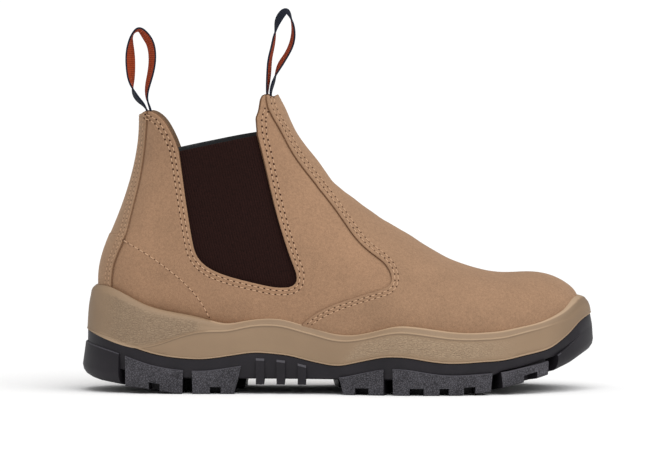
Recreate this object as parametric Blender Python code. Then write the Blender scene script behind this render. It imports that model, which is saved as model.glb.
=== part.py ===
"""Ankle-height work boot with elastic side gores, for the right foot.

X runs from heel to toe, Y points to the inner side of the foot and Z is up. The origin is on the
floor, in the middle of the boot's box. Lengths are metres. A table gives its lengths as shares of the
named sizes, and "along" is a share of LENGTH, from 0 at the back of the heel to 1 at the toe.
"""

import math

import bmesh
import bpy
import numpy as np

LENGTH = 0.307

# Last, measured over the leather
BALL_WIDTH = 0.102
LAST_HEEL = 0.070
SHAFT_WIDTH = 0.066
TOE_TOP = 0.0706
INSTEP = 0.1223
COLLAR = 0.1775
SEAT = 0.033

# Sole, which stands out from the last by BALL_SHELF and HEEL_SHELF in all
BALL_SHELF = 0.009
HEEL_SHELF = 0.010
SOLE_BALL = BALL_WIDTH + BALL_SHELF
SOLE_HEEL = LAST_HEEL + HEEL_SHELF
CUP_HEIGHT = 0.0635
OUTSOLE_HEIGHT = 0.0366
HEEL_FLARE = 0.003
TOE_FLARE = 0.0015
TREAD_DEPTH = 0.009
HEEL_BEVEL = 0.009
TOE_SPRING = 0.0205
LUG_BAND = 0.0068
LUG_PROUD = 0.0009
LUG_WIDTH = 0.021
SIDE_CHAMFER = 0.0008
HEEL_CHAMFER = 0.0045
TOE_CHAMFER = 0.0035
LUG_STATION = 0.014
NOTCH_HEIGHT = 0.0042
NOTCH_REACH = 0.009
NOTCH_CLEARANCE = 0.006
PLATE = 0.005
TRAY_WALL = 0.0045
RIDGE_STEP = 0.0011
LIP = 0.0016
DRAFT = 0.0015
TUCK = 0.0008
FOOT_INSET = 0.003

# Materials that the upper is cut from
LEATHER = 0.0022
OVERLAY = 0.0012
GORE = 0.0015
GORE_LAP = 0.008
INSOLE = 0.004
WEBBING = 0.0011
WEBBING_WIDTH = 0.0105
HAIR = 0.00003
REAR_LOOP_HEIGHT = 0.050
REAR_LOOP_SPREAD = 0.0070
FRONT_LOOP_HEIGHT = 0.051
FRONT_LOOP_SPREAD = 0.0080

GAP = 0.0003
SINK = 0.014

RINGS = 37
RING_POINTS = 24
SOLE_STATIONS = 22

HALF_SPAN = 0.075
BELOW = -0.02
ABOVE = 0.24

SUEDE = (0.40, 0.235, 0.135)
MIDSOLE_TAUPE = (0.32, 0.215, 0.135)
RUBBER = (0.035, 0.034, 0.040)
ELASTIC = (0.020, 0.010, 0.008)
ORANGE = (0.30, 0.07, 0.03)
FOAM = (0.10, 0.095, 0.09)

# Sole outline at the midsole's widest level: along, outer edge, inner edge
OUTLINE = (
    (0.010, 0.0, 0.0),
    (0.021, -0.205 * SOLE_HEEL, 0.205 * SOLE_HEEL),
    (0.052, -0.362 * SOLE_HEEL, 0.355 * SOLE_HEEL),
    (0.110, -0.468 * SOLE_HEEL, 0.452 * SOLE_HEEL),
    (0.190, -0.505 * SOLE_HEEL, 0.485 * SOLE_HEEL),
    (0.300, -0.366 * SOLE_BALL, 0.326 * SOLE_BALL),
    (0.420, -0.390 * SOLE_BALL, 0.312 * SOLE_BALL),
    (0.530, -0.448 * SOLE_BALL, 0.350 * SOLE_BALL),
    (0.630, -0.500 * SOLE_BALL, 0.428 * SOLE_BALL),
    (0.730, -0.498 * SOLE_BALL, 0.482 * SOLE_BALL),
    (0.825, -0.438 * SOLE_BALL, 0.472 * SOLE_BALL),
    (0.905, -0.328 * SOLE_BALL, 0.402 * SOLE_BALL),
    (0.960, -0.185 * SOLE_BALL, 0.288 * SOLE_BALL),
    (0.987, -0.050 * SOLE_BALL, 0.165 * SOLE_BALL),
    (0.995, 0.060 * SOLE_BALL, 0.060 * SOLE_BALL),
)

# Top edge of the midsole cup: along, share of CUP_HEIGHT
RIM = (
    (0.000, 0.985), (0.031, 1.000), (0.060, 0.965), (0.093, 0.895), (0.119, 0.838), (0.165, 0.774),
    (0.213, 0.732), (0.256, 0.682), (0.281, 0.658), (0.321, 0.684), (0.360, 0.707), (0.393, 0.699),
    (0.425, 0.658), (0.449, 0.627), (0.489, 0.573), (0.520, 0.558), (0.549, 0.575), (0.582, 0.612),
    (0.611, 0.641), (0.643, 0.638), (0.684, 0.613), (0.717, 0.592), (0.757, 0.580), (0.790, 0.585),
    (0.816, 0.595), (0.855, 0.630), (0.891, 0.666), (0.926, 0.725), (0.953, 0.803), (0.969, 0.868),
    (1.000, 0.885),
)

# Joint between midsole and outsole: along, share of OUTSOLE_HEIGHT
JOINT = (
    (0.000, 1.025), (0.020, 0.970), (0.046, 0.910), (0.086, 0.805), (0.125, 0.690), (0.165, 0.612),
    (0.207, 0.572), (0.246, 0.570), (0.275, 0.600), (0.308, 0.642), (0.331, 0.668), (0.370, 0.658),
    (0.409, 0.617), (0.438, 0.557), (0.467, 0.503), (0.500, 0.470), (0.529, 0.512), (0.559, 0.568),
    (0.588, 0.612), (0.611, 0.618), (0.637, 0.603), (0.666, 0.563), (0.699, 0.525), (0.741, 0.519),
    (0.780, 0.538), (0.822, 0.563), (0.855, 0.620), (0.891, 0.683), (0.917, 0.760), (0.933, 0.852),
    (0.953, 0.989), (0.969, 1.125), (1.000, 1.260),
)

# Thickness of the tray's wall: along, share of TRAY_WALL
TRAY_WALLS = ((0.0, 1.0), (0.84, 1.0), (0.93, 0.60), (1.0, 0.60))
# Thickness of the plate: along, share of PLATE
PLATES = ((0.0, 1.0), (0.82, 1.0), (0.93, 0.40), (1.0, 0.30))

# Ridge where the side of the midsole steps out: along, share of the way from joint to rim
RIDGE = (
    (0.000, 0.06), (0.120, 0.06), (0.160, 0.28), (0.213, 0.57), (0.260, 0.73), (0.300, 0.79),
    (0.360, 0.80), (0.430, 0.79), (0.500, 0.79), (0.560, 0.79), (0.640, 0.79), (0.750, 0.78),
    (0.850, 0.78), (0.900, 0.80), (1.000, 0.80),
)
# How far the step stands out: along, share of RIDGE_STEP
RIDGE_FADE = ((0.0, 0.0), (0.125, 0.15), (0.16, 0.9), (0.22, 1.0), (0.80, 1.0), (0.92, 0.25), (1.0, 0.0))

# Side of the midsole above the ridge: share of the way to the rim, inset in shares of RIM_INSET
RIM_INSET = 0.0052
RIM_PROFILE = ((0.35, 0.10), (0.60, 0.24), (0.80, 0.42), (0.94, 0.68), (1.00, 1.00))

# Lowest level of the tread: along, height
GROUND = (
    (0.000, HEEL_BEVEL), (0.035, 0.72 * HEEL_BEVEL), (0.070, 0.56 * HEEL_BEVEL),
    (0.130, 0.33 * HEEL_BEVEL), (0.170, 0.10 * HEEL_BEVEL), (0.215, 0.0), (0.720, 0.0),
    (0.745, 0.025 * TOE_SPRING), (0.798, 0.10 * TOE_SPRING), (0.816, 0.22 * TOE_SPRING),
    (0.858, 0.34 * TOE_SPRING), (0.884, 0.45 * TOE_SPRING), (0.925, 0.62 * TOE_SPRING),
    (0.960, 0.83 * TOE_SPRING), (0.980, TOE_SPRING), (1.000, 1.15 * TOE_SPRING),
)

# Side lugs, the same on both sides: along at the back end, along at the front end
SIDE_LUGS = ((0.088, 0.200), (0.217, 0.313), (0.502, 0.588), (0.605, 0.797), (0.814, 0.906))
# Lugs that wrap the ends: along at their open ends
HEEL_WRAP = 0.076
TOE_WRAP = 0.925
# Notches in the lower edge of the side lugs: along at the back end, along at the front end
NOTCHES = ((0.134, 0.155), (0.252, 0.273), (0.533, 0.559), (0.638, 0.665), (0.695, 0.713),
           (0.742, 0.764), (0.858, 0.884))
# Bars across the waist: along
WAIST_BARS = (0.349, 0.389, 0.430)
BAR_WIDTH = 0.0050
BAR_DROP = 0.0032
BAR_TOP = 0.0032
# Blocks in the middle of the tread: along at the centre, share of the width from outer to inner
# side, length in shares of BLOCK_LENGTH, width in shares of BLOCK_WIDTH, turn in degrees
BLOCK_LENGTH = 0.010
BLOCK_WIDTH = 0.022
BLOCKS = (
    (0.165, 0.50, 1.0, 0.9, 0.0), (0.255, 0.50, 1.0, 1.0, 0.0),
    (0.545, 0.50, 1.0, 1.0, 0.0), (0.620, 0.38, 1.0, 1.0, -24.0), (0.620, 0.62, 1.0, 1.0, 24.0),
    (0.690, 0.38, 1.0, 1.1, -24.0), (0.690, 0.62, 1.0, 1.1, 24.0), (0.760, 0.38, 1.0, 1.0, -24.0),
    (0.760, 0.62, 1.0, 1.0, 24.0), (0.835, 0.50, 1.1, 1.6, 0.0), (0.888, 0.50, 0.8, 0.9, 0.0),
)

# The last in the side view, ring by ring from the toe to above the collar. front is a ring's highest
# or foremost point and back its lowest or rearmost one: front along, front up, back along, back up
LAST_SIDE = (
    (0.976, 0.60 * TOE_TOP, 0.976, 0.58 * TOE_TOP),
    (0.970, 0.780 * TOE_TOP, 0.966, 1.06 * SEAT),
    (0.952, 0.888 * TOE_TOP, 0.944, 0.95 * SEAT),
    (0.917, 0.970 * TOE_TOP, 0.910, 0.84 * SEAT),
    (0.871, 1.000 * TOE_TOP, 0.862, 0.73 * SEAT),
    (0.813, 0.998 * TOE_TOP, 0.800, 0.66 * SEAT),
    (0.748, 1.064 * TOE_TOP, 0.728, 0.64 * SEAT),
    (0.689, 0.682 * INSTEP, 0.650, 0.64 * SEAT),
    (0.630, 0.772 * INSTEP, 0.559, 0.68 * SEAT),
    (0.565, 0.876 * INSTEP, 0.454, 0.74 * SEAT),
    (0.500, 1.000 * INSTEP, 0.344, 0.83 * SEAT),
    (0.466, 0.762 * COLLAR, 0.223, 0.91 * SEAT),
    (0.445, 0.808 * COLLAR, 0.116, 1.00 * SEAT),
    (0.432, 0.837 * COLLAR, 0.054, 1.18 * SEAT),
    (0.422, 0.862 * COLLAR, 0.034, 0.310 * COLLAR),
    (0.414, 0.887 * COLLAR, 0.033, 0.406 * COLLAR),
    (0.406, 0.917 * COLLAR, 0.047, 0.496 * COLLAR),
    (0.399, 0.946 * COLLAR, 0.070, 0.592 * COLLAR),
    (0.390, 0.977 * COLLAR, 0.095, 0.721 * COLLAR),
    (0.380, 1.010 * COLLAR, 0.109, 0.845 * COLLAR),
    (0.370, 1.048 * COLLAR, 0.111, 0.946 * COLLAR),
    (0.360, 1.093 * COLLAR, 0.111, 1.060 * COLLAR),
)
# The same rings across. widest is the share of the way from back to front where a ring is widest,
# and the two powers say how square its front and back halves are: outer half, inner half, middle,
# widest, front power, back power, open underneath
LAST_WIDTHS = (
    (0.000, 0.000, 0.059 * BALL_WIDTH, 0.42, 2.1, 2.3, 0.0),
    (0.150 * BALL_WIDTH, 0.150 * BALL_WIDTH, 0.059 * BALL_WIDTH, 0.40, 2.2, 2.6, 0.0),
    (0.250 * BALL_WIDTH, 0.242 * BALL_WIDTH, 0.054 * BALL_WIDTH, 0.33, 2.3, 3.2, 0.4),
    (0.345 * BALL_WIDTH, 0.332 * BALL_WIDTH, 0.044 * BALL_WIDTH, 0.29, 2.35, 4.0, 1.0),
    (0.428 * BALL_WIDTH, 0.408 * BALL_WIDTH, 0.034 * BALL_WIDTH, 0.27, 2.35, 4.5, 1.0),
    (0.478 * BALL_WIDTH, 0.448 * BALL_WIDTH, 0.025 * BALL_WIDTH, 0.27, 2.25, 4.5, 1.0),
    (0.507 * BALL_WIDTH, 0.462 * BALL_WIDTH, 0.015 * BALL_WIDTH, 0.27, 2.10, 4.5, 1.0),
    (0.507 * BALL_WIDTH, 0.440 * BALL_WIDTH, 0.010 * BALL_WIDTH, 0.27, 2.00, 4.5, 1.0),
    (0.475 * BALL_WIDTH, 0.388 * BALL_WIDTH, 0.005 * BALL_WIDTH, 0.27, 1.90, 4.2, 1.0),
    (0.430 * BALL_WIDTH, 0.345 * BALL_WIDTH, 0.0, 0.28, 1.85, 4.0, 1.0),
    (0.392 * BALL_WIDTH, 0.330 * BALL_WIDTH, 0.0, 0.30, 1.85, 3.6, 1.0),
    (0.535 * LAST_HEEL, 0.485 * LAST_HEEL, 0.0, 0.34, 1.90, 3.2, 1.0),
    (0.515 * LAST_HEEL, 0.500 * LAST_HEEL, 0.0, 0.38, 1.95, 2.8, 1.0),
    (0.505 * LAST_HEEL, 0.500 * LAST_HEEL, 0.0, 0.42, 2.00, 2.6, 0.0),
    (0.500 * LAST_HEEL, 0.498 * LAST_HEEL, 0.0, 0.45, 2.00, 2.5, 0.0),
    (0.520 * SHAFT_WIDTH, 0.520 * SHAFT_WIDTH, 0.0, 0.47, 2.05, 2.4, 0.0),
    (0.512 * SHAFT_WIDTH, 0.512 * SHAFT_WIDTH, 0.0, 0.48, 2.10, 2.3, 0.0),
    (0.505 * SHAFT_WIDTH, 0.505 * SHAFT_WIDTH, 0.0, 0.49, 2.10, 2.25, 0.0),
    (0.500 * SHAFT_WIDTH, 0.500 * SHAFT_WIDTH, 0.0, 0.50, 2.10, 2.2, 0.0),
    (0.500 * SHAFT_WIDTH, 0.500 * SHAFT_WIDTH, 0.0, 0.50, 2.10, 2.2, 0.0),
    (0.500 * SHAFT_WIDTH, 0.500 * SHAFT_WIDTH, 0.0, 0.50, 2.10, 2.2, 0.0),
    (0.500 * SHAFT_WIDTH, 0.500 * SHAFT_WIDTH, 0.0, 0.50, 2.10, 2.2, 0.0),
)
LAST = [side + across for side, across in zip(LAST_SIDE, LAST_WIDTHS)]
FIRST_RING = 0.3
LAST_SEAT_ROWS = range(1, 13)

# Lines in the side view: along, share of COLLAR
REAR_COLLAR = (
    (0.112, 0.931), (0.127, 0.943), (0.145, 0.932), (0.160, 0.909), (0.172, 0.878), (0.182, 0.845),
)
GORE_EDGE = (
    (0.189, 0.815), (0.197, 0.730), (0.208, 0.607), (0.218, 0.507), (0.229, 0.453), (0.249, 0.421),
    (0.295, 0.389), (0.350, 0.366), (0.389, 0.356), (0.413, 0.363), (0.420, 0.387), (0.414, 0.428),
    (0.396, 0.518), (0.376, 0.642), (0.358, 0.786), (0.347, 0.864),
)
FRONT_COLLAR = ((0.345, 0.923), (0.350, 0.955), (0.359, 0.999), (0.371, 0.991), (0.384, 1.000))
GORE_TOP = ((0.189, 0.812), (0.347, 0.864))
VAMP_EDGE = (
    (0.362, 1.010), (0.364, 0.965), (0.384, 0.895), (0.415, 0.797), (0.458, 0.699), (0.514, 0.570),
    (0.560, 0.478), (0.590, 0.438), (0.602, 0.403), (0.598, 0.364), (0.568, 0.343), (0.528, 0.322),
    (0.487, 0.297), (0.455, 0.268), (0.430, 0.232), (0.412, 0.170), (0.402, 0.060),
)
BACKSTAY_EDGE = (
    (0.127, 1.000), (0.125, 0.886), (0.121, 0.809), (0.115, 0.737), (0.106, 0.665), (0.095, 0.589),
    (0.086, 0.528), (0.074, 0.478), (0.063, 0.427), (0.058, 0.355), (0.056, 0.170),
)

# Webbing loops in the side view, from one end round to the other: shares of the loop's spread
# across and of its height up, both from the top of the tab, and the twist in degrees
REAR_LOOP = (
    (0.00, -0.20, 0), (0.00, 0.00, 0), (-0.30, 0.07, 8), (-0.72, 0.13, 16), (-1.12, 0.22, 12),
    (-1.32, 0.34, -18), (-1.40, 0.51, -40), (-1.43, 0.71, -40), (-1.38, 0.84, -26), (-1.16, 0.93, -10),
    (-0.71, 0.97, 4), (-0.17, 0.91, -4), (0.27, 0.81, -16), (0.47, 0.66, -22), (0.40, 0.51, -22),
    (0.24, 0.40, -18), (0.02, 0.26, -12), (0.02, 0.14, -4), (0.28, 0.02, 0), (0.40, -0.08, 0),
    (0.42, -0.20, 0),
)
FRONT_LOOP = (
    (0.34, -0.20, 0), (-0.32, 0.00, 0), (-0.16, 0.14, -8), (-0.02, 0.30, -14), (0.06, 0.44, -14),
    (0.25, 0.58, -10), (0.41, 0.72, 4), (0.54, 0.82, 18), (0.80, 0.93, 24), (1.30, 1.00, 14),
    (1.61, 0.93, 0), (1.80, 0.81, -10), (1.80, 0.71, -16), (1.59, 0.58, -18), (1.22, 0.47, -16),
    (0.86, 0.38, -14), (0.58, 0.29, -6), (0.30, 0.17, 6), (0.00, 0.03, 2), (0.66, -0.20, 0),
)
LOOP_STEPS = 2


def spline(knots, values):
    """The cubic curve through values at the given knots, straight at its ends."""
    x, y = np.array(knots, float), np.array(values, float)
    h = np.diff(x)
    count = len(x)
    matrix, right = np.eye(count), np.zeros(count)
    for i in range(1, count - 1):
        matrix[i, i - 1:i + 2] = h[i - 1], 2 * (h[i - 1] + h[i]), h[i]
        right[i] = 6 * ((y[i + 1] - y[i]) / h[i] - (y[i] - y[i - 1]) / h[i - 1])
    bend = np.linalg.solve(matrix, right)

    def at(t):
        t = np.asarray(t, float)
        k = np.clip(np.searchsorted(x, t) - 1, 0, count - 2)
        u, v = t - x[k], x[k + 1] - t
        curved = (bend[k] * v**3 + bend[k + 1] * u**3) / (6 * h[k])
        straight = (y[k] / h[k] - bend[k] * h[k] / 6) * v + (y[k + 1] / h[k] - bend[k + 1] * h[k] / 6) * u
        return curved + straight

    return at


def line_spline(points, count):
    """count points on a smooth line through the given ones, of any number of columns."""
    points = np.array(points, float)
    run = np.concatenate([[0], np.cumsum(np.linalg.norm(np.diff(points[:, :2], axis=0), axis=1))])
    t = np.linspace(0, run[-1], count)
    return np.stack([spline(run, column)(t) for column in points.T], axis=1)


def place_x(along):
    return (np.asarray(along, float) - 0.5) * LENGTH


def along_of(x):
    return np.asarray(x, float) / LENGTH + 0.5


def table_spline(table, unit):
    """A height or size as a function of x, from a table of along and share of unit."""
    rows = np.array(table, float)
    curve = spline(rows[:, 0], rows[:, 1])
    return lambda x: unit * curve(np.clip(along_of(x), rows[0, 0], rows[-1, 0]))


def table_lines(table, unit):
    """The same with straight lines between the rows, so that a flat stretch is exactly flat."""
    rows = np.array(table, float)
    return lambda x: unit * np.interp(along_of(x), rows[:, 0], rows[:, 1])


tray_wall = table_lines(TRAY_WALLS, TRAY_WALL)
plate = table_lines(PLATES, PLATE)
rim = table_spline(RIM, CUP_HEIGHT)
joint = table_spline(JOINT, OUTSOLE_HEIGHT)
ridge_share = table_lines(RIDGE, 1.0)
ridge_step = table_lines(RIDGE_FADE, RIDGE_STEP)
ground = table_lines(GROUND, 1.0)


def plate_bottom(x):
    """Underside of the outsole's plate, between the lugs."""
    return ground(x) + TREAD_DEPTH


def plate_middle(x):
    """Level that the lugs reach up to inside the plate."""
    return plate_bottom(x) + 0.4 * plate(x)


def plate_top(x):
    return plate_bottom(x) + plate(x)


def closed_outline():
    """Many points round the sole outline, outer side first from heel to toe, then the inner side."""
    rows = np.array(OUTLINE, float)
    outer = np.stack([place_x(rows[:, 0]), rows[:, 1]], axis=1)
    inner = np.stack([place_x(rows[:, 0]), rows[:, 2]], axis=1)[::-1]
    loop = np.concatenate([outer, inner[1:-1]])
    overlap = 4
    wrapped = np.concatenate([loop[-overlap:], loop, loop[:overlap + 1]])
    run = np.concatenate([[0], np.cumsum(np.linalg.norm(np.diff(wrapped, axis=0), axis=1))])
    t = np.linspace(run[overlap], run[overlap + len(loop)], 1201)[:-1]
    return np.stack([spline(run, column)(t) for column in wrapped.T], axis=1)


RAW_OUTLINE = closed_outline()
MIDDLE_Y = (RAW_OUTLINE[:, 1].max() + RAW_OUTLINE[:, 1].min()) / 2
HEEL_TIP = RAW_OUTLINE[:, 0].min()
TOE_TIP = RAW_OUTLINE[:, 0].max()


def outline_side(side):
    """Points and outward normals of one side of the outline, heel to toe: -1 is outer, 1 inner."""
    points = RAW_OUTLINE - (0, MIDDLE_Y)
    tangent = np.roll(points, -1, axis=0) - np.roll(points, 1, axis=0)
    normal = np.stack([tangent[:, 1], -tangent[:, 0]], axis=1)
    normal /= np.linalg.norm(normal, axis=1)[:, None]
    heel, toe = points[:, 0].argmin(), points[:, 0].argmax()
    order = np.roll(np.arange(len(points)), -heel)
    split = int(np.where(order == toe)[0][0])
    chosen = order[:split + 1] if side < 0 else np.concatenate([order[:1], order[split:][::-1]])
    return points[chosen], normal[chosen]


SIDES = {side: outline_side(side) for side in (-1, 1)}


def edge_at(x, side, outset=0.0):
    """Point of the outline at x on one side, moved outwards by outset, and its normal."""
    points, normals = SIDES[side]
    place = np.array([np.interp(x, points[:, 0], points[:, i]) for i in (0, 1)])
    normal = np.array([np.interp(x, points[:, 0], normals[:, i]) for i in (0, 1)])
    normal /= np.linalg.norm(normal)
    return place + normal * outset, normal


def new_object(name, mesh, color, roughness):
    material = bpy.data.materials.get(name) or bpy.data.materials.new(name)
    material.use_nodes = True
    shader = material.node_tree.nodes["Principled BSDF"]
    shader.inputs["Base Color"].default_value = (*color, 1.0)
    shader.inputs["Roughness"].default_value = roughness
    mesh.materials.append(material)
    obj = bpy.data.objects.new(name, mesh)
    boot.objects.link(obj)
    return obj


def helper(obj):
    """Makes an object a cutter: it shapes others and isn't part of the boot."""
    for collection in list(obj.users_collection):
        collection.objects.unlink(obj)
    cutters.objects.link(obj)
    obj.hide_render = True
    obj.display_type = "WIRE"
    return obj


def mesh_from(bm, name, split=True):
    """A closed mesh of what bm holds, turned outwards. split makes triangles, which cut cleanly."""
    if split:
        bmesh.ops.triangulate(bm, faces=bm.faces)
    bmesh.ops.recalc_face_normals(bm, faces=bm.faces)
    if bm.calc_volume(signed=True) < 0:
        bmesh.ops.reverse_faces(bm, faces=bm.faces)
    mesh = bpy.data.meshes.new(name)
    bm.to_mesh(mesh)
    bm.free()
    mesh.shade_smooth()
    mesh.set_sharp_from_angle(angle=math.radians(35))
    return mesh


def add_loft(bm, sections):
    """A closed solid through sections with the same number of points, its two ends capped flat."""
    rings = [[bm.verts.new(p) for p in section] for section in sections]
    for lower, upper in zip(rings, rings[1:]):
        for i in range(len(lower)):
            k = (i + 1) % len(lower)
            bm.faces.new((lower[i], lower[k], upper[k], upper[i]))
    bm.faces.new(rings[0][::-1])
    bm.faces.new(rings[-1])


def loft(name, sections, color, roughness):
    bm = bmesh.new()
    add_loft(bm, sections)
    return new_object(name, mesh_from(bm, name), color, roughness)


def boolean(obj, other, operation, overlapping=False):
    """Cuts or joins obj with other. overlapping says that other's own bodies run into each other."""
    modifier = obj.modifiers.new(f"{operation.lower()} {other.name}", "BOOLEAN")
    modifier.operation = operation
    modifier.object = other
    modifier.use_self = overlapping
    return obj


def weld(obj):
    """Joins corners that a cut has left closer together than a hair."""
    obj.modifiers.new("weld", "WELD").merge_threshold = HAIR
    return obj


def prism(name, outline, low_y=-HALF_SPAN, high_y=HALF_SPAN):
    """A closed side-view outline of x and z points, drawn out across the boot."""
    bm = bmesh.new()
    face = bm.faces.new([bm.verts.new((x, low_y, z)) for x, z in outline])
    drawn = bmesh.ops.extrude_face_region(bm, geom=[face])["geom"]
    moved = [item for item in drawn if isinstance(item, bmesh.types.BMVert)]
    bmesh.ops.translate(bm, verts=moved, vec=(0, high_y - low_y, 0))
    return helper(new_object(name, mesh_from(bm, name), SUEDE, 1.0))


def side_line(table, count):
    """A table of along and share of COLLAR as a smooth line of x and z points."""
    points = line_spline(table, count)
    return np.stack([place_x(points[:, 0]), points[:, 1] * COLLAR], axis=1)


def offset_line(line, distance):
    """The line moved sideways, to its left where distance is positive."""
    tangent = np.gradient(line, axis=0)
    normal = np.stack([-tangent[:, 1], tangent[:, 0]], axis=1)
    return line + distance * normal / np.linalg.norm(normal, axis=1)[:, None]


def last_grid():
    """Points and outward normals of the last's surface, ring by ring from toe to above the collar."""
    rows = np.array(LAST, float)
    t = np.concatenate([[FIRST_RING], np.linspace(0, len(rows) - 1, RINGS)[1:]])
    index = np.arange(len(rows))
    column = [spline(index, values)(t)[:, None] for values in rows.T]
    front_along, front_up, back_along, back_up = column[:4]
    outer, inner, middle, widest, front_power, back_power = column[4:10]
    angle = np.linspace(0, 2 * math.pi, RING_POINTS, endpoint=False)[None, :]
    to_back = np.cos(angle) > 0
    power = np.where(to_back, back_power, front_power)
    reach = np.abs(np.cos(angle)) ** (2 / power)
    share = np.where(to_back, widest * (1 - reach), widest + (1 - widest) * reach)
    half = np.where(np.sin(angle) < 0, outer, inner)
    across = middle - MIDDLE_Y + np.sign(np.sin(angle)) * half * np.abs(np.sin(angle)) ** (2 / power)
    x = place_x(back_along + (front_along - back_along) * share)
    z = back_up + (front_up - back_up) * share
    points = np.stack([x, across, z], axis=2)
    round_ring = np.roll(points, -1, axis=1) - np.roll(points, 1, axis=1)
    normals = np.cross(round_ring, np.gradient(points, axis=0))
    normals /= np.linalg.norm(normals, axis=2)[:, :, None]
    centre = points.mean(axis=1, keepdims=True)
    if ((points - centre) * normals).sum() < 0:
        normals = -normals
    openness = np.interp(t, index, rows[:, 10])[:, None] * (np.cos(angle) > 0.78)
    return points, normals, openness


LAST_POINTS, LAST_NORMALS, LAST_OPEN = last_grid()


def last_form(name, grow, sink=0.0):
    """The last as a solid, grown by grow all round. sink draws its underside down, as a well."""
    points = LAST_POINTS + LAST_NORMALS * grow
    points[:, :, 2] -= LAST_OPEN * sink
    return helper(loft(name, points, SUEDE, 0.9))


def vamp_region(name, margin):
    line = offset_line(side_line(VAMP_EDGE, 20), -margin)
    far = LENGTH
    outline = [(line[0, 0], ABOVE), *line, (line[-1, 0], BELOW), (far, BELOW), (far, ABOVE)]
    return prism(name, outline)


def backstay_region(name, margin):
    line = offset_line(side_line(BACKSTAY_EDGE, 12), margin)
    far = -LENGTH
    outline = [(line[0, 0], ABOVE), *line, (line[-1, 0], BELOW), (far, BELOW), (far, ABOVE)]
    return prism(name, outline[::-1])


def leather_forms(name, grow):
    """Three solids that fill the outside of the upper: the quarters, and the raised vamp and backstay."""
    forms = [last_form(f"{name}_quarters", grow - OVERLAY)]
    for part, region in (("vamp", vamp_region), ("backstay", backstay_region)):
        raised = last_form(f"{name}_{part}", grow)
        forms.append(boolean(raised, region(f"{name}_{part}_region", 2 * grow), "INTERSECT"))
    return forms


def collar_region():
    """All that lies above the leather's top edge, down into the two gore openings."""
    edge = side_line(GORE_EDGE, 24)
    rear, front = side_line(REAR_COLLAR, 10), side_line(FRONT_COLLAR, 5)
    outline = [(-LENGTH, ABOVE), (-LENGTH, rear[0, 1]), *rear, *edge, *front]
    outline += [(LENGTH, front[-1, 1]), (LENGTH, ABOVE)]
    return prism("above_collar", outline)


def make_upper():
    quarters, vamp, backstay = leather_forms("leather", 0.0)
    upper = copy_of_form("upper", quarters, SUEDE, 0.9)
    boolean(upper, vamp, "UNION")
    boolean(upper, backstay, "UNION")
    boolean(upper, last_form("upper_inside", -OVERLAY - LEATHER, SINK), "DIFFERENCE")
    boolean(upper, collar_region(), "DIFFERENCE")
    return weld(upper)


def make_gore(name, low_y, high_y):
    """Elastic panel behind the edges of one opening in the leather."""
    edge = offset_line(side_line(GORE_EDGE, 24), -GORE_LAP)
    top = np.array(GORE_TOP)
    slope = (top[1, 1] - top[0, 1]) * COLLAR / ((top[1, 0] - top[0, 0]) * LENGTH)
    start_x, start_z = place_x(top[0, 0]), top[0, 1] * COLLAR
    below = edge[edge[:, 1] < start_z + slope * (edge[:, 0] - start_x) - GAP]
    ends = [(x, start_z + slope * (x - start_x)) for x in (below[0, 0], below[-1, 0])]
    cutter = prism(f"{name}_region", [ends[0], *below, ends[1]], low_y, high_y)
    outside = last_form(f"{name}_outside", -OVERLAY - LEATHER - GAP)
    inside = last_form(f"{name}_inside", -OVERLAY - LEATHER - GAP - GORE)
    gore = copy_of_form(name, outside, ELASTIC, 0.85)
    boolean(gore, cutter, "INTERSECT")
    boolean(gore, inside, "DIFFERENCE")
    return gore


def copy_of_form(name, form, color, roughness):
    """Turns a helper form into a part of the boot with its own material."""
    mesh = form.data.copy()
    bpy.data.objects.remove(form)
    mesh.materials.clear()
    return new_object(name, mesh, color, roughness)


def make_insole():
    """Footbed: fills the opening under the lasted edge and lies on the midsole's floor."""
    form = last_form("insole_form", -OVERLAY - LEATHER - 2 * GAP, SINK)
    insole = copy_of_form("insole", form, FOAM, 0.9)
    rows = np.array([LAST[i] for i in LAST_SEAT_ROWS], float)[::-1]
    x = np.linspace(place_x(rows[0, 2]), place_x(rows[-1, 2]), 16)
    top = spline(place_x(rows[:, 2]), rows[:, 3])(x) + OVERLAY + LEATHER + INSOLE
    ends = place_x(np.array([0.0, 1.0]))
    over = [(ends[1], top[-1]), *list(zip(x, top))[::-1], (ends[0], top[0])]
    outline = [(ends[0], BELOW), (ends[1], BELOW), *over]
    boolean(insole, prism("insole_slab", outline), "INTERSECT")
    boolean(insole, last_form("insole_under", -OVERLAY), "INTERSECT")
    return insole


def sole_stations():
    """x of each station along the sole, closer together near the ends."""
    turn = np.linspace(0, math.pi, SOLE_STATIONS)
    spread = 0.5 - 0.5 * np.cos(turn)
    even = turn / math.pi
    return HEEL_TIP + (TOE_TIP - HEEL_TIP) * (0.75 * spread + 0.25 * even)


def sole_ring(outset, height):
    """A ring of points round the sole, from the heel's tip up the outer side. outset and height take x."""
    stations = sole_stations()
    outer = [(x, -1) for x in stations]
    inner = [(x, 1) for x in stations[-2:0:-1]]
    ring = []
    for x, side in outer + inner:
        (px, py), _ = edge_at(x, side, float(outset(x)))
        ring.append((px, py, float(height(x))))
    return ring


def sole_solid(name, rings, color, roughness):
    """A closed solid of rings round the sole, its top and bottom crossed by a ladder of faces."""
    bm = bmesh.new()
    verts = [[bm.verts.new(p) for p in ring] for ring in rings]
    count = len(rings[0])
    for lower, upper in zip(verts, verts[1:]):
        for i in range(count):
            k = (i + 1) % count
            bm.faces.new((lower[i], lower[k], upper[k], upper[i]))
    for ring in (verts[0], verts[-1]):
        for i in range(SOLE_STATIONS - 1):
            corners = [ring[i], ring[i + 1], ring[(count - i - 1) % count], ring[(count - i) % count]]
            bm.faces.new(list(dict.fromkeys(corners)))
    return new_object(name, mesh_from(bm, name), color, roughness)


def constant(value):
    return lambda x: value


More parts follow.
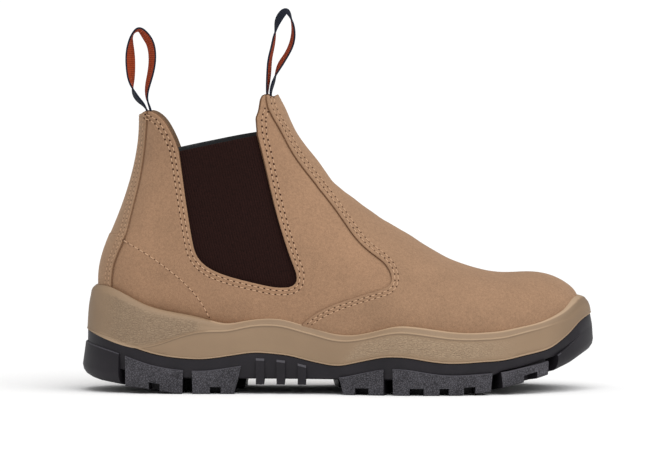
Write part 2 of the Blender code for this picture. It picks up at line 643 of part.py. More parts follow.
def midsole_rings():
    """Rings of the midsole from the plug in the outsole's tray, out over the joint and up the side."""
    def at_ridge(x):
        return joint(x) + ridge_share(x) * (rim(x) - joint(x))

    def above_ridge(share):
        return lambda x: at_ridge(x) + TUCK + share * (rim(x) - at_ridge(x) - TUCK)

    yield sole_ring(lambda x: -tray_wall(x) - DRAFT, lambda x: plate_top(x) + 2 * GAP)
    yield sole_ring(lambda x: -tray_wall(x), joint)
    yield sole_ring(constant(-TUCK), joint)
    yield sole_ring(constant(0.0), lambda x: joint(x) + min(LIP / 2, 0.02 * (rim(x) - joint(x))))
    yield sole_ring(ridge_step, lambda x: joint(x) + min(LIP, 0.05 * (rim(x) - joint(x))))
    yield sole_ring(ridge_step, at_ridge)
    yield sole_ring(constant(0.0), above_ridge(0.0))
    for share, inset in RIM_PROFILE:
        yield sole_ring(constant(-RIM_INSET * inset), above_ridge(share))


def make_midsole():
    midsole = sole_solid("midsole", list(midsole_rings()), MIDSOLE_TAUPE, 0.6)
    for form in leather_forms("cavity", GAP):
        boolean(midsole, form, "DIFFERENCE")
    return weld(midsole)


def end_flare(x):
    """Extra outset of the lugs at the two ends of the sole."""
    heel = np.interp(along_of(x), (0.0, 0.10), (HEEL_FLARE, LUG_PROUD))
    toe = np.interp(along_of(x), (0.90, 1.0), (LUG_PROUD, TOE_FLARE))
    return max(float(heel), float(toe))


def lug_top(x):
    return joint(x) - LUG_BAND


def stretch(start, end, side):
    """Stations x and side along one side from start to end."""
    count = max(3, int(round((end - start) / LUG_STATION)) + 1)
    return [(x, side) for x in np.linspace(start, end, count)]


def wrap(tip, open_end):
    """Stations round one end of the sole, from the outer side through the tip to the inner side."""
    turn = np.linspace(0, 1, 8)[1:]
    places = tip + (open_end - tip) * turn**2
    return [(x, -1) for x in places[::-1]] + [(tip, -1)] + [(x, 1) for x in places]


def add_lug(bm, stations, chamfer, width=LUG_WIDTH):
    """A block under the edge of the sole: a band up its side, and a foot that reaches inwards."""
    sections = []
    for x, side in stations:
        place, normal = edge_at(x, side)
        root = place - normal * width
        outset, bottom, wall = end_flare(x), float(ground(x)), float(tray_wall(x))
        profile = (
            (LUG_PROUD, lug_top(x)), (-0.7 * wall, lug_top(x)), (-0.9 * wall, plate_middle(x)),
            (-width, plate_middle(root[0])), (-width, ground(root[0])),
            (outset - chamfer, bottom), (outset, bottom + chamfer),
        )
        sections.append([(*(place + normal * reach), float(z)) for reach, z in profile])
    add_loft(bm, sections)


def add_block(bm, along, share, length, width, turn):
    """A block in the middle of the tread."""
    x = float(place_x(along))
    low, high = edge_at(x, -1)[0][1], edge_at(x, 1)[0][1]
    centre = np.array([x, low + share * (high - low)])
    angle = math.radians(turn)
    forward = np.array([math.cos(angle), math.sin(angle)])
    sideways = np.array([-forward[1], forward[0]])
    half_length, half_width = length * BLOCK_LENGTH / 2, width * BLOCK_WIDTH / 2
    corners = [centre + a * half_length * forward + b * half_width * sideways
               for a, b in ((-1, -1), (1, -1), (1, 1), (-1, 1))]
    bottom = [(*corner, float(ground(corner[0]))) for corner in corners]
    top = [(*corner, float(plate_middle(corner[0]))) for corner in corners]
    add_loft(bm, [bottom, top])


def add_waist_bar(bm, along):
    """A bar across the waist, standing proud of the plate's underside and of both its sides."""
    sections = []
    centre = float(place_x(along))
    for x in (centre - BAR_WIDTH / 2, centre + BAR_WIDTH / 2):
        outer, inner = edge_at(x, -1, LUG_PROUD)[0], edge_at(x, 1, LUG_PROUD)[0]
        outer_in, inner_in = edge_at(x, -1, -0.55 * TRAY_WALL)[0], edge_at(x, 1, -0.55 * TRAY_WALL)[0]
        low, top = float(plate_bottom(x)) - BAR_DROP, float(joint(x)) - BAR_TOP
        inside = float(plate_middle(x))
        sections.append([
            (x, outer[1], low), (x, outer[1], top), (x, outer_in[1], top), (x, outer_in[1], inside),
            (x, inner_in[1], inside), (x, inner_in[1], top), (x, inner[1], top), (x, inner[1], low),
        ])
    add_loft(bm, sections)


def make_tread():
    """All lugs, blocks and bars, as one mesh of separate bodies."""
    bm = bmesh.new()
    for start, end in SIDE_LUGS:
        for side in (-1, 1):
            add_lug(bm, stretch(place_x(start), place_x(end), side), SIDE_CHAMFER)
    add_lug(bm, wrap(HEEL_TIP, float(place_x(HEEL_WRAP))), HEEL_CHAMFER, 0.9 * LUG_WIDTH)
    add_lug(bm, wrap(TOE_TIP, float(place_x(TOE_WRAP))), TOE_CHAMFER, 0.8 * LUG_WIDTH)
    for block in BLOCKS:
        add_block(bm, *block)
    for along in WAIST_BARS:
        add_waist_bar(bm, along)
    return helper(new_object("tread", mesh_from(bm, "tread", split=False), RUBBER, 0.5))


def make_notches():
    """Notches in the lower outer edge of the side lugs, as one mesh of separate cutters."""
    bm = bmesh.new()
    for start, end in NOTCHES:
        for side in (-1, 1):
            sections = []
            for x in (float(place_x(start)), float(place_x(end))):
                place, normal = edge_at(x, side)
                top = float(ground(x)) + NOTCH_HEIGHT
                sections.append([(*(place + normal * reach), z) for reach, z in (
                    (NOTCH_CLEARANCE, BELOW), (NOTCH_CLEARANCE, top),
                    (-NOTCH_REACH, top), (-NOTCH_REACH, BELOW))])
            add_loft(bm, sections)
    return helper(new_object("notches", mesh_from(bm, "notches", split=False), RUBBER, 0.5))


def make_outsole():
    """Rubber unit: a tray for the midsole on a plate, with the tread under it."""
    rings = [
        sole_ring(lambda x: -tray_wall(x) - DRAFT + GAP, plate_top),
        sole_ring(lambda x: -tray_wall(x) + GAP, lambda x: joint(x) - GAP),
        sole_ring(constant(-TUCK), lambda x: joint(x) - GAP),
        sole_ring(constant(-0.5 * TUCK), lambda x: joint(x) - 3 * GAP),
        sole_ring(constant(-0.25 * TUCK), lambda x: 0.5 * (joint(x) + plate_bottom(x))),
        sole_ring(constant(-1.5 * TUCK), lambda x: plate_bottom(x) + TUCK),
        sole_ring(constant(-FOOT_INSET), plate_bottom),
    ]
    outsole = sole_solid("outsole", rings, RUBBER, 0.5)
    boolean(outsole, make_tread(), "UNION", overlapping=True)
    boolean(outsole, make_notches(), "DIFFERENCE")
    return weld(outsole)


def make_pull_loop(name, table, foot_x, foot_z, spread, height):
    """A twisted webbing loop whose two ends lie side by side behind the tab."""
    line = line_spline([(a * spread, b * height, c) for a, b, c in table], LOOP_STEPS * (len(table) - 1) + 1)
    tangent = np.gradient(line[:, :2], axis=0)
    tangent /= np.linalg.norm(tangent, axis=1)[:, None]
    sections = []
    for (x, z, twist), (tx, tz) in zip(line, tangent):
        turn = math.radians(twist)
        across = np.array([-tz * math.sin(turn), math.cos(turn), tx * math.sin(turn)])
        through = np.array([-tz * math.cos(turn), -math.sin(turn), tx * math.cos(turn)])
        centre = np.array([foot_x + x, -MIDDLE_Y, foot_z + z])
        half_across, half_through = across * WEBBING_WIDTH / 2, through * WEBBING / 2
        sections.append([centre - half_across - half_through, centre + half_across - half_through,
                         centre + half_across + half_through, centre - half_across + half_through])
    return loft(name, sections, ORANGE, 0.8)


def wall_inside(front, height):
    """x of the leather's inner face in the middle of the shaft, at a height, at the front or at the back."""
    column = 0 if not front else RING_POINTS // 2
    line = LAST_POINTS[:, column] - LAST_NORMALS[:, column] * (OVERLAY + LEATHER)
    shaft = line[line[:, 2] > COLLAR / 2]
    order = np.argsort(shaft[:, 2])
    return float(np.interp(height, shaft[order, 2], shaft[order, 0]))


def make_pull_loops():
    rear_z, front_z = REAR_COLLAR[1][1] * COLLAR, FRONT_COLLAR[3][1] * COLLAR
    rear_x = wall_inside(False, rear_z) + WEBBING / 2 + 3 * GAP
    front_x = wall_inside(True, front_z) - WEBBING / 2 - 6 * GAP
    make_pull_loop("pull_loop_rear", REAR_LOOP, rear_x, rear_z, REAR_LOOP_SPREAD, REAR_LOOP_HEIGHT)
    make_pull_loop("pull_loop_front", FRONT_LOOP, front_x, front_z, FRONT_LOOP_SPREAD, FRONT_LOOP_HEIGHT)


def main():
    make_outsole()
    make_midsole()
    make_insole()
    make_upper()
    make_gore("gore_outer", -HALF_SPAN, -0.1 * SHAFT_WIDTH)
    make_gore("gore_inner", 0.1 * SHAFT_WIDTH, HALF_SPAN)
    make_pull_loops()


for old in list(bpy.data.objects):
    bpy.data.objects.remove(old)
boot = bpy.data.collections.new("work_boot")
cutters = bpy.data.collections.new("cutters")
for made in (boot, cutters):
    bpy.context.scene.collection.children.link(made)
main()
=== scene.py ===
"""Looks of the side gore work boot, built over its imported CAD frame.

X runs from heel to toe, Y points to the inner side of the foot and Z is up. Lengths are metres. A table
gives its lengths as shares of the named sizes, and "along" is a share of LENGTH, from 0 at the back of
the heel to 1 at the toe.
"""

import math

import bmesh
import bpy
import numpy as np
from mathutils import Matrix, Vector
from mathutils.bvhtree import BVHTree


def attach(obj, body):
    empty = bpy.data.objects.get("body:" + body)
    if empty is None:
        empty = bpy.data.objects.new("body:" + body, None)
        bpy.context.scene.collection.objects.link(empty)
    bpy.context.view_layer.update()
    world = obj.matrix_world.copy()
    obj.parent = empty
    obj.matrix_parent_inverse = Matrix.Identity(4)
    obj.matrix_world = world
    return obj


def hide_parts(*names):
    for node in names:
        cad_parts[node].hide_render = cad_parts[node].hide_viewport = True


LENGTH = 0.307

# Last, measured over the leather
BALL_WIDTH = 0.102
LAST_HEEL = 0.070
SHAFT_WIDTH = 0.066
TOE_TOP = 0.0706
INSTEP = 0.1223
COLLAR = 0.1775
SEAT = 0.033

# Sole
SOLE_BALL = BALL_WIDTH + 0.009
SOLE_HEEL = LAST_HEEL + 0.010
CUP_HEIGHT = 0.0635
OUTSOLE_HEIGHT = 0.0366
HEEL_FLARE = 0.003
TOE_FLARE = 0.0015
TREAD_DEPTH = 0.009
HEEL_BEVEL = 0.009
TOE_SPRING = 0.0205
LUG_BAND = 0.0068
LUG_PROUD = 0.0009
LUG_WIDTH = 0.021
NOTCH_HEIGHT = 0.0042
NOTCH_REACH = 0.009
NOTCH_OUT = 0.006
PLATE = 0.005
TRAY_WALL = 0.0045
SIDE_ROUNDING = 0.0010
HEEL_ROUNDING = 0.0075
TOE_ROUNDING = 0.0075
RUBBER_ROUNDING = 0.00035
# Side of the midsole: how far its plug and its edge at the joint are set back, the height of the lip over
# the joint, the step at the ridge, what it takes below and above the ridge, and the hollow over it
PLUG_INSET = 0.0015
JOINT_SETBACK = 0.0008
LIP = 0.0013
RIDGE_STEP = 0.0011
RIDGE_FOOT = 0.0005
RIDGE_HEAD = 0.0010
COVE = 0.00045
# Side of the outsole: inset and height of its edge under the joint and of the edge round the plate, and
# how far the underside and the side itself are set in
TRAY_INSET = 0.0003
TRAY_LIP = 0.0004
PLATE_INSET = 0.0012
PLATE_LIP = 0.0008
UNDERSIDE_INSET = 0.0030
SIDE_INSET = 0.0002

# Materials that the upper is cut from
LEATHER = 0.0022
OVERLAY = 0.0012
GORE = 0.0015
GORE_LAP = 0.008
INNER_GORE_RISE = 0.0011
WEBBING = 0.0011
WEBBING_WIDTH = 0.0105
REAR_LOOP_HEIGHT = 0.050
REAR_LOOP_SPREAD = 0.0070
FRONT_LOOP_HEIGHT = 0.051
FRONT_LOOP_SPREAD = 0.0080

# Thread
PITCH = 0.0037
THREAD = 0.00028
HOLE = 0.00062
# One visible length of thread: share of the pitch, lift and thickness in shares of THREAD
STITCH = (
    (0.18, -0.5, 0.70), (0.27, 0.35, 0.95), (0.50, 0.75, 1.05), (0.73, 0.35, 0.95), (0.82, -0.5, 0.70),
)
# Corners round a thread and round a hole, and how much wider than thick a thread is
STITCH_SIDES = 6
HOLE_SIDES = 8
STITCH_FLATNESS = 1.15
# Where the rays that find the leather start, how far a row stays above the cup, and the least that the
# leather faces sideways where it is sewn
RAY_START = 0.09
ROW_CLEARANCE = 0.0008
LEAST_FACING = 0.12

# Clearance between two pieces, and between two surfaces that would otherwise coincide
GAP = 0.0003
HAIR = 0.00005
# Width of a cut edge in the side view, how far the leather runs down inside the cup, what is left
# round an outline until it is cut exactly, and where the lining ends above the seat
CUT_WIDTH = 0.00008
SKIRT = 0.011
SPARE = 0.004
LINING_SPARE = 0.006
LINING_FOOT = 0.004
# How near a cut a point is moved onto it
SNAP = 0.00003

# How far the forms that cut reach, to each side and from below to above
HALF_SPAN = 0.075
BELOW = -0.02
ABOVE = 0.24

# Steps between two rows of the last, and points round it
SKIN_GRID = (8, 168)
LINING_GRID = (4, 96)
FORM_GRID = (3, 64)
WALL_GRID = (2, 48)
OUTLINE_POINTS = 2400
SOLE_STATIONS = 121
LOOP_STEPS = 12

# Camera
CAMERA_X = -0.0045
CAMERA_DISTANCE = 3.5
CAMERA_HEIGHT = 0.25
AIM_HEIGHT = 0.0922
VIEW_WIDTH = 0.3966
SENSOR = 36.0

# Sole outline at the midsole's widest level: along, outer edge, inner edge
OUTLINE = (
    (0.010, 0.0, 0.0),
    (0.021, -0.205 * SOLE_HEEL, 0.205 * SOLE_HEEL),
    (0.052, -0.362 * SOLE_HEEL, 0.355 * SOLE_HEEL),
    (0.110, -0.468 * SOLE_HEEL, 0.452 * SOLE_HEEL),
    (0.190, -0.505 * SOLE_HEEL, 0.485 * SOLE_HEEL),
    (0.300, -0.366 * SOLE_BALL, 0.326 * SOLE_BALL),
    (0.420, -0.390 * SOLE_BALL, 0.312 * SOLE_BALL),
    (0.530, -0.448 * SOLE_BALL, 0.350 * SOLE_BALL),
    (0.630, -0.500 * SOLE_BALL, 0.428 * SOLE_BALL),
    (0.730, -0.498 * SOLE_BALL, 0.482 * SOLE_BALL),
    (0.825, -0.438 * SOLE_BALL, 0.472 * SOLE_BALL),
    (0.905, -0.328 * SOLE_BALL, 0.402 * SOLE_BALL),
    (0.960, -0.185 * SOLE_BALL, 0.288 * SOLE_BALL),
    (0.987, -0.050 * SOLE_BALL, 0.165 * SOLE_BALL),
    (0.995, 0.060 * SOLE_BALL, 0.060 * SOLE_BALL),
)

# Top edge of the midsole cup: along, share of CUP_HEIGHT
RIM = (
    (0.000, 0.985), (0.031, 1.000), (0.060, 0.965), (0.093, 0.895), (0.119, 0.838), (0.165, 0.774),
    (0.213, 0.732), (0.256, 0.682), (0.281, 0.658), (0.321, 0.684), (0.360, 0.707), (0.393, 0.699),
    (0.425, 0.658), (0.449, 0.627), (0.489, 0.573), (0.520, 0.558), (0.549, 0.575), (0.582, 0.612),
    (0.611, 0.641), (0.643, 0.638), (0.684, 0.613), (0.717, 0.592), (0.757, 0.580), (0.790, 0.585),
    (0.816, 0.595), (0.855, 0.630), (0.891, 0.666), (0.926, 0.725), (0.953, 0.803), (0.969, 0.868),
    (1.000, 0.885),
)

# Joint between midsole and outsole: along, share of OUTSOLE_HEIGHT
JOINT = (
    (0.000, 1.025), (0.020, 0.970), (0.046, 0.910), (0.086, 0.805), (0.125, 0.690), (0.165, 0.612),
    (0.207, 0.572), (0.246, 0.570), (0.275, 0.600), (0.308, 0.642), (0.331, 0.668), (0.370, 0.658),
    (0.409, 0.617), (0.438, 0.557), (0.467, 0.503), (0.500, 0.470), (0.529, 0.512), (0.559, 0.568),
    (0.588, 0.612), (0.611, 0.618), (0.637, 0.603), (0.666, 0.563), (0.699, 0.525), (0.741, 0.519),
    (0.780, 0.538), (0.822, 0.563), (0.855, 0.620), (0.891, 0.683), (0.917, 0.760), (0.933, 0.852),
    (0.953, 0.989), (0.969, 1.125), (1.000, 1.260),
)

# Thickness of the tray's wall: along, share of TRAY_WALL
TRAY_WALLS = ((0.0, 1.0), (0.84, 1.0), (0.93, 0.60), (1.0, 0.60))
# Thickness of the plate: along, share of PLATE
PLATES = ((0.0, 1.0), (0.82, 1.0), (0.93, 0.40), (1.0, 0.30))

# Rounded lip of the midsole over the joint: share of LIP up, outset
LIP_PROFILE = ((0.12, 0.0), (0.35, 0.00030), (0.65, 0.00032), (0.92, 0.00005))
# Side between the lip and the ridge: share of the way up, share of RIDGE_STEP that it stands out
PANEL_PROFILE = ((0.0, 0.25), (0.2, 0.49), (0.4, 0.73), (0.6, 0.97), (0.8, 1.0), (0.95, 1.0))
# Step at the ridge: height above it, share of RIDGE_STEP
STEP_PROFILE = ((-0.0003, 1.15), (0.0, 1.15), (0.0003, 0.85), (0.0006, 0.10))
# Ridge where the side of the midsole steps out: along, share of the way from joint to rim
RIDGE = (
    (0.000, 0.06), (0.120, 0.06), (0.160, 0.28), (0.213, 0.57), (0.260, 0.73), (0.300, 0.79),
    (0.360, 0.80), (0.430, 0.79), (0.500, 0.79), (0.560, 0.79), (0.640, 0.79), (0.750, 0.78),
    (0.850, 0.78), (0.905, 0.78), (0.945, 0.60), (0.975, 0.28), (1.000, 0.08),
)
# How far the step stands out: along, share of RIDGE_STEP
RIDGE_FADE = ((0.0, 0.0), (0.125, 0.15), (0.16, 0.9), (0.22, 1.0), (0.80, 1.0), (0.92, 0.25), (1.0, 0.0))

# Side of the midsole above the ridge: share of the way to the rim, inset in shares of RIM_INSET, which
# grows to TOE_RIM_INSET round the toe
RIM_INSET = 0.0052
TOE_RIM_INSET = 0.0076
RIM_PROFILE = (
    (0.0, 0.0), (0.12, 0.03), (0.35, 0.10), (0.60, 0.24), (0.80, 0.42), (0.94, 0.68), (1.00, 1.00),
)

# Rings of that side: share of the way up
BAND_SHARES = (0.0, 0.08, 0.18, 0.30, 0.42, 0.54, 0.66, 0.76, 0.85, 0.92, 0.97, 1.0)

# Lowest level of the tread: along, height
GROUND = (
    (0.000, HEEL_BEVEL), (0.035, 0.72 * HEEL_BEVEL), (0.070, 0.56 * HEEL_BEVEL),
    (0.130, 0.33 * HEEL_BEVEL), (0.170, 0.10 * HEEL_BEVEL), (0.215, 0.0), (0.720, 0.0),
    (0.745, 0.025 * TOE_SPRING), (0.798, 0.10 * TOE_SPRING), (0.816, 0.22 * TOE_SPRING),
    (0.858, 0.34 * TOE_SPRING), (0.884, 0.45 * TOE_SPRING), (0.925, 0.62 * TOE_SPRING),
    (0.960, 0.83 * TOE_SPRING), (0.980, TOE_SPRING), (1.000, 1.15 * TOE_SPRING),
)

# Side lugs: along at the back and the front end, how far the foot is drawn in at each in shares of
# LUG_LEAN, and how much further along the ends of the inner side's lug lie, which reach into the waist
SIDE_LUGS = (
    (0.088, 0.200, 0.1, 0.1, 0.0, 0.0),
    (0.217, 0.313, 0.1, 1.0, 0.0, 0.022),
    (0.502, 0.588, 0.6, 0.0, -0.017, 0.0),
    (0.605, 0.797, 0.1, 0.2, 0.0, 0.0),
    (0.814, 0.906, 0.3, 0.1, 0.0, 0.0),
)
LUG_LEAN = 0.0046
LUG_CHAMFER = 0.0005
LUG_STEP = 0.004
# Lugs that wrap the ends: along at their open ends
HEEL_WRAP = 0.076
TOE_WRAP = 0.925
# Stretches of the side lugs that carry a moulded grain: along from, along to. It starts a little way in
GRAIN = ((0.080, 0.330), (0.450, 0.915))
GRAIN_MARGIN = 0.0004
# Notches in the lower edge of the side lugs: along at the back end, along at the front end
NOTCHES = ((0.134, 0.155), (0.252, 0.273), (0.533, 0.559), (0.638, 0.665), (0.695, 0.713),
           (0.742, 0.764), (0.858, 0.884))
# Bars across the waist: along
WAIST_BARS = (0.349, 0.389, 0.430)
BAR_WIDTH = 0.0050
BAR_DROP = 0.0032
BAR_TOP = 0.0032
BAR_CHAMFER = 0.0013
# Blocks in the middle of the tread: along at the centre, share of the width from outer to inner
# side, length in shares of BLOCK_LENGTH, width in shares of BLOCK_WIDTH, turn in degrees
BLOCK_LENGTH = 0.010
BLOCK_WIDTH = 0.022
BLOCKS = (
    (0.165, 0.50, 1.0, 0.9, 0.0), (0.208, 0.50, 0.7, 0.9, 0.0), (0.255, 0.50, 1.0, 1.0, 0.0),
    (0.545, 0.50, 1.0, 1.0, 0.0), (0.620, 0.38, 1.0, 1.0, -24.0), (0.620, 0.62, 1.0, 1.0, 24.0),
    (0.690, 0.38, 1.0, 1.1, -24.0), (0.690, 0.62, 1.0, 1.1, 24.0), (0.760, 0.38, 1.0, 1.0, -24.0),
    (0.760, 0.62, 1.0, 1.0, 24.0), (0.835, 0.50, 1.1, 1.6, 0.0), (0.888, 0.50, 0.8, 0.9, 0.0),
)

# The last in the side view, ring by ring from the toe to above the collar. front is a ring's highest
# or foremost point and back its lowest or rearmost one: front along, front up, back along, back up
LAST_SIDE = (
    (0.976, 0.60 * TOE_TOP, 0.976, 0.58 * TOE_TOP),
    (0.970, 0.780 * TOE_TOP, 0.966, 1.06 * SEAT),
    (0.952, 0.888 * TOE_TOP, 0.944, 0.95 * SEAT),
    (0.917, 0.970 * TOE_TOP, 0.910, 0.84 * SEAT),
    (0.871, 1.000 * TOE_TOP, 0.862, 0.73 * SEAT),
    (0.813, 0.998 * TOE_TOP, 0.800, 0.66 * SEAT),
    (0.748, 1.064 * TOE_TOP, 0.728, 0.64 * SEAT),
    (0.689, 0.682 * INSTEP, 0.650, 0.64 * SEAT),
    (0.630, 0.772 * INSTEP, 0.559, 0.68 * SEAT),
    (0.565, 0.876 * INSTEP, 0.454, 0.74 * SEAT),
    (0.500, 1.000 * INSTEP, 0.344, 0.83 * SEAT),
    (0.466, 0.762 * COLLAR, 0.223, 0.91 * SEAT),
    (0.445, 0.808 * COLLAR, 0.116, 1.00 * SEAT),
    (0.432, 0.837 * COLLAR, 0.054, 1.18 * SEAT),
    (0.422, 0.862 * COLLAR, 0.034, 0.310 * COLLAR),
    (0.414, 0.887 * COLLAR, 0.033, 0.406 * COLLAR),
    (0.406, 0.917 * COLLAR, 0.047, 0.496 * COLLAR),
    (0.399, 0.946 * COLLAR, 0.070, 0.592 * COLLAR),
    (0.390, 0.977 * COLLAR, 0.095, 0.721 * COLLAR),
    (0.380, 1.010 * COLLAR, 0.109, 0.845 * COLLAR),
    (0.370, 1.048 * COLLAR, 0.111, 0.946 * COLLAR),
    (0.360, 1.093 * COLLAR, 0.111, 1.060 * COLLAR),
)
# The same rings across. widest is the share of the way from back to front where a ring is widest,
# and the two powers say how square its front and back halves are: outer half, inner half, middle,
# widest, front power, back power
LAST_WIDTHS = (
    (0.000, 0.000, 0.059 * BALL_WIDTH, 0.42, 2.1, 2.3),
    (0.150 * BALL_WIDTH, 0.150 * BALL_WIDTH, 0.059 * BALL_WIDTH, 0.40, 2.2, 2.6),
    (0.250 * BALL_WIDTH, 0.242 * BALL_WIDTH, 0.054 * BALL_WIDTH, 0.33, 2.3, 3.2),
    (0.345 * BALL_WIDTH, 0.332 * BALL_WIDTH, 0.044 * BALL_WIDTH, 0.29, 2.35, 4.0),
    (0.428 * BALL_WIDTH, 0.408 * BALL_WIDTH, 0.034 * BALL_WIDTH, 0.27, 2.35, 4.5),
    (0.478 * BALL_WIDTH, 0.448 * BALL_WIDTH, 0.025 * BALL_WIDTH, 0.27, 2.25, 4.5),
    (0.507 * BALL_WIDTH, 0.462 * BALL_WIDTH, 0.015 * BALL_WIDTH, 0.27, 2.10, 4.5),
    (0.507 * BALL_WIDTH, 0.440 * BALL_WIDTH, 0.010 * BALL_WIDTH, 0.27, 2.00, 4.5),
    (0.475 * BALL_WIDTH, 0.388 * BALL_WIDTH, 0.005 * BALL_WIDTH, 0.27, 1.90, 4.2),
    (0.430 * BALL_WIDTH, 0.345 * BALL_WIDTH, 0.0, 0.28, 1.85, 4.0),
    (0.392 * BALL_WIDTH, 0.330 * BALL_WIDTH, 0.0, 0.30, 1.85, 3.6),
    (0.535 * LAST_HEEL, 0.485 * LAST_HEEL, 0.0, 0.34, 1.90, 3.2),
    (0.515 * LAST_HEEL, 0.500 * LAST_HEEL, 0.0, 0.38, 1.95, 2.8),
    (0.505 * LAST_HEEL, 0.500 * LAST_HEEL, 0.0, 0.42, 2.00, 2.6),
    (0.500 * LAST_HEEL, 0.498 * LAST_HEEL, 0.0, 0.45, 2.00, 2.5),
    (0.520 * SHAFT_WIDTH, 0.520 * SHAFT_WIDTH, 0.0, 0.47, 2.05, 2.4),
    (0.512 * SHAFT_WIDTH, 0.512 * SHAFT_WIDTH, 0.0, 0.48, 2.10, 2.3),
    (0.505 * SHAFT_WIDTH, 0.505 * SHAFT_WIDTH, 0.0, 0.49, 2.10, 2.25),
    (0.500 * SHAFT_WIDTH, 0.500 * SHAFT_WIDTH, 0.0, 0.50, 2.10, 2.2),
    (0.500 * SHAFT_WIDTH, 0.500 * SHAFT_WIDTH, 0.0, 0.50, 2.10, 2.2),
    (0.500 * SHAFT_WIDTH, 0.500 * SHAFT_WIDTH, 0.0, 0.50, 2.10, 2.2),
    (0.500 * SHAFT_WIDTH, 0.500 * SHAFT_WIDTH, 0.0, 0.50, 2.10, 2.2),
)
LAST = [side + across for side, across in zip(LAST_SIDE, LAST_WIDTHS)]
# Place of the first ring between the first two rows, where the toe is closed
FIRST_RING = 0.3

# Lines in the side view: along, share of COLLAR
REAR_COLLAR = (
    (0.112, 0.931), (0.127, 0.943), (0.145, 0.932), (0.160, 0.909), (0.172, 0.878), (0.182, 0.845),
)
GORE_EDGE = (
    (0.189, 0.815), (0.197, 0.730), (0.208, 0.607), (0.218, 0.507), (0.229, 0.453), (0.249, 0.421),
    (0.295, 0.389), (0.350, 0.366), (0.389, 0.356), (0.413, 0.363), (0.420, 0.387), (0.414, 0.428),
    (0.396, 0.518), (0.376, 0.642), (0.358, 0.786), (0.347, 0.864),
)
FRONT_COLLAR = ((0.345, 0.923), (0.352, 0.957), (0.365, 0.999), (0.374, 0.991), (0.384, 1.000))
GORE_TOP = ((0.189, 0.812), (0.347, 0.864))
VAMP_EDGE = (
    (0.362, 1.010), (0.364, 0.965), (0.384, 0.895), (0.415, 0.797), (0.458, 0.699), (0.514, 0.570),
    (0.560, 0.478), (0.590, 0.438), (0.602, 0.403), (0.598, 0.364), (0.568, 0.343), (0.528, 0.322),
    (0.487, 0.297), (0.455, 0.268), (0.430, 0.232), (0.412, 0.170), (0.402, 0.060),
)
BACKSTAY_EDGE = (
    (0.127, 1.000), (0.125, 0.886), (0.121, 0.809), (0.115, 0.737), (0.106, 0.665), (0.095, 0.589),
    (0.086, 0.528), (0.074, 0.478), (0.063, 0.427), (0.058, 0.355), (0.056, 0.170),
)
# The strip's lower piece lies over its upper one: top of the lower piece, and the height of the leather
# across it by distance below that top, in shares of OVERLAY
CAP_TOP = 0.530 * COLLAR
CAP_PROFILE = ((-0.0006, 0.0), (0.0, -0.10), (0.00012, 0.28), (0.0008, 0.36), (0.0200, 0.30), (0.0450, 0.0))
# Row of stitches that holds the heel counter inside
COUNTER_ROW = (
    (0.082, 0.512), (0.104, 0.491), (0.130, 0.465), (0.160, 0.429), (0.187, 0.393), (0.211, 0.354),
    (0.229, 0.318), (0.253, 0.245),
)

# Height of the leather across a seam: distance into the upper layer, share of OVERLAY. The two
# dips are the rows of stitches
SEAM_PROFILE = (
    (-0.0010, 0.0), (-0.0003, -0.10), (0.0, -0.14), (CUT_WIDTH, 0.78), (0.0004, 0.97), (0.0010, 1.0),
    (0.0016, 0.99), (0.0020, 0.90), (0.0024, 0.99), (0.0030, 1.04), (0.0036, 0.99), (0.0040, 0.90),
    (0.0044, 0.99), (0.0054, 1.0),
)
SEAM_ROWS = (0.0020, 0.0040)
# The same across the backstay strip, whose rows lie closer to its edge
STRIP_PROFILE = (
    (-0.0009, 0.0), (-0.0003, -0.14), (0.0, -0.20), (CUT_WIDTH, 0.70), (0.0004, 1.02), (0.0008, 1.10),
    (0.0014, 0.92), (0.0020, 1.0), (0.0028, 1.0), (0.0034, 0.92), (0.0040, 1.0),
)
STRIP_ROWS = (0.0014, 0.0034)
# The same along the top edge and the gore openings, as a change in height in shares of EDGE_DROP
EDGE_DROP = 0.001
EDGE_PROFILE = (
    (0.0, -0.42), (0.00012, -0.22), (0.0004, -0.07), (0.0009, 0.0), (0.0014, 0.0), (0.0020, -0.12),
    (0.0026, 0.0), (0.0032, 0.04), (0.0038, 0.0), (0.0044, -0.12), (0.0050, 0.0), (0.0060, 0.0),
)
EDGE_ROWS = (0.0020, 0.0044)

# Soft troughs and swells of the worn-in leather in the side view: along, share of COLLAR up, half the
# length and half the width in shares of COLLAR, lean in degrees, height in shares of OVERLAY
CREASES = (
    (0.500, 0.715, 0.110, 0.020, 28, -0.35),
    (0.540, 0.655, 0.130, 0.024, 24, 0.30),
    (0.585, 0.580, 0.120, 0.020, 20, -0.30),
    (0.640, 0.520, 0.140, 0.026, 14, 0.30),
    (0.700, 0.440, 0.130, 0.022, 6, -0.28),
    (0.470, 0.560, 0.100, 0.030, 62, -0.22),
    (0.430, 0.300, 0.120, 0.030, 8, -0.20),
    (0.330, 0.310, 0.110, 0.028, -6, 0.22),
    (0.165, 0.620, 0.090, 0.026, 74, -0.28),
    (0.190, 0.520, 0.070, 0.024, 60, 0.22),
    (0.760, 0.330, 0.120, 0.040, -20, -0.20),
    (0.860, 0.340, 0.060, 0.050, -10, 0.25),
)

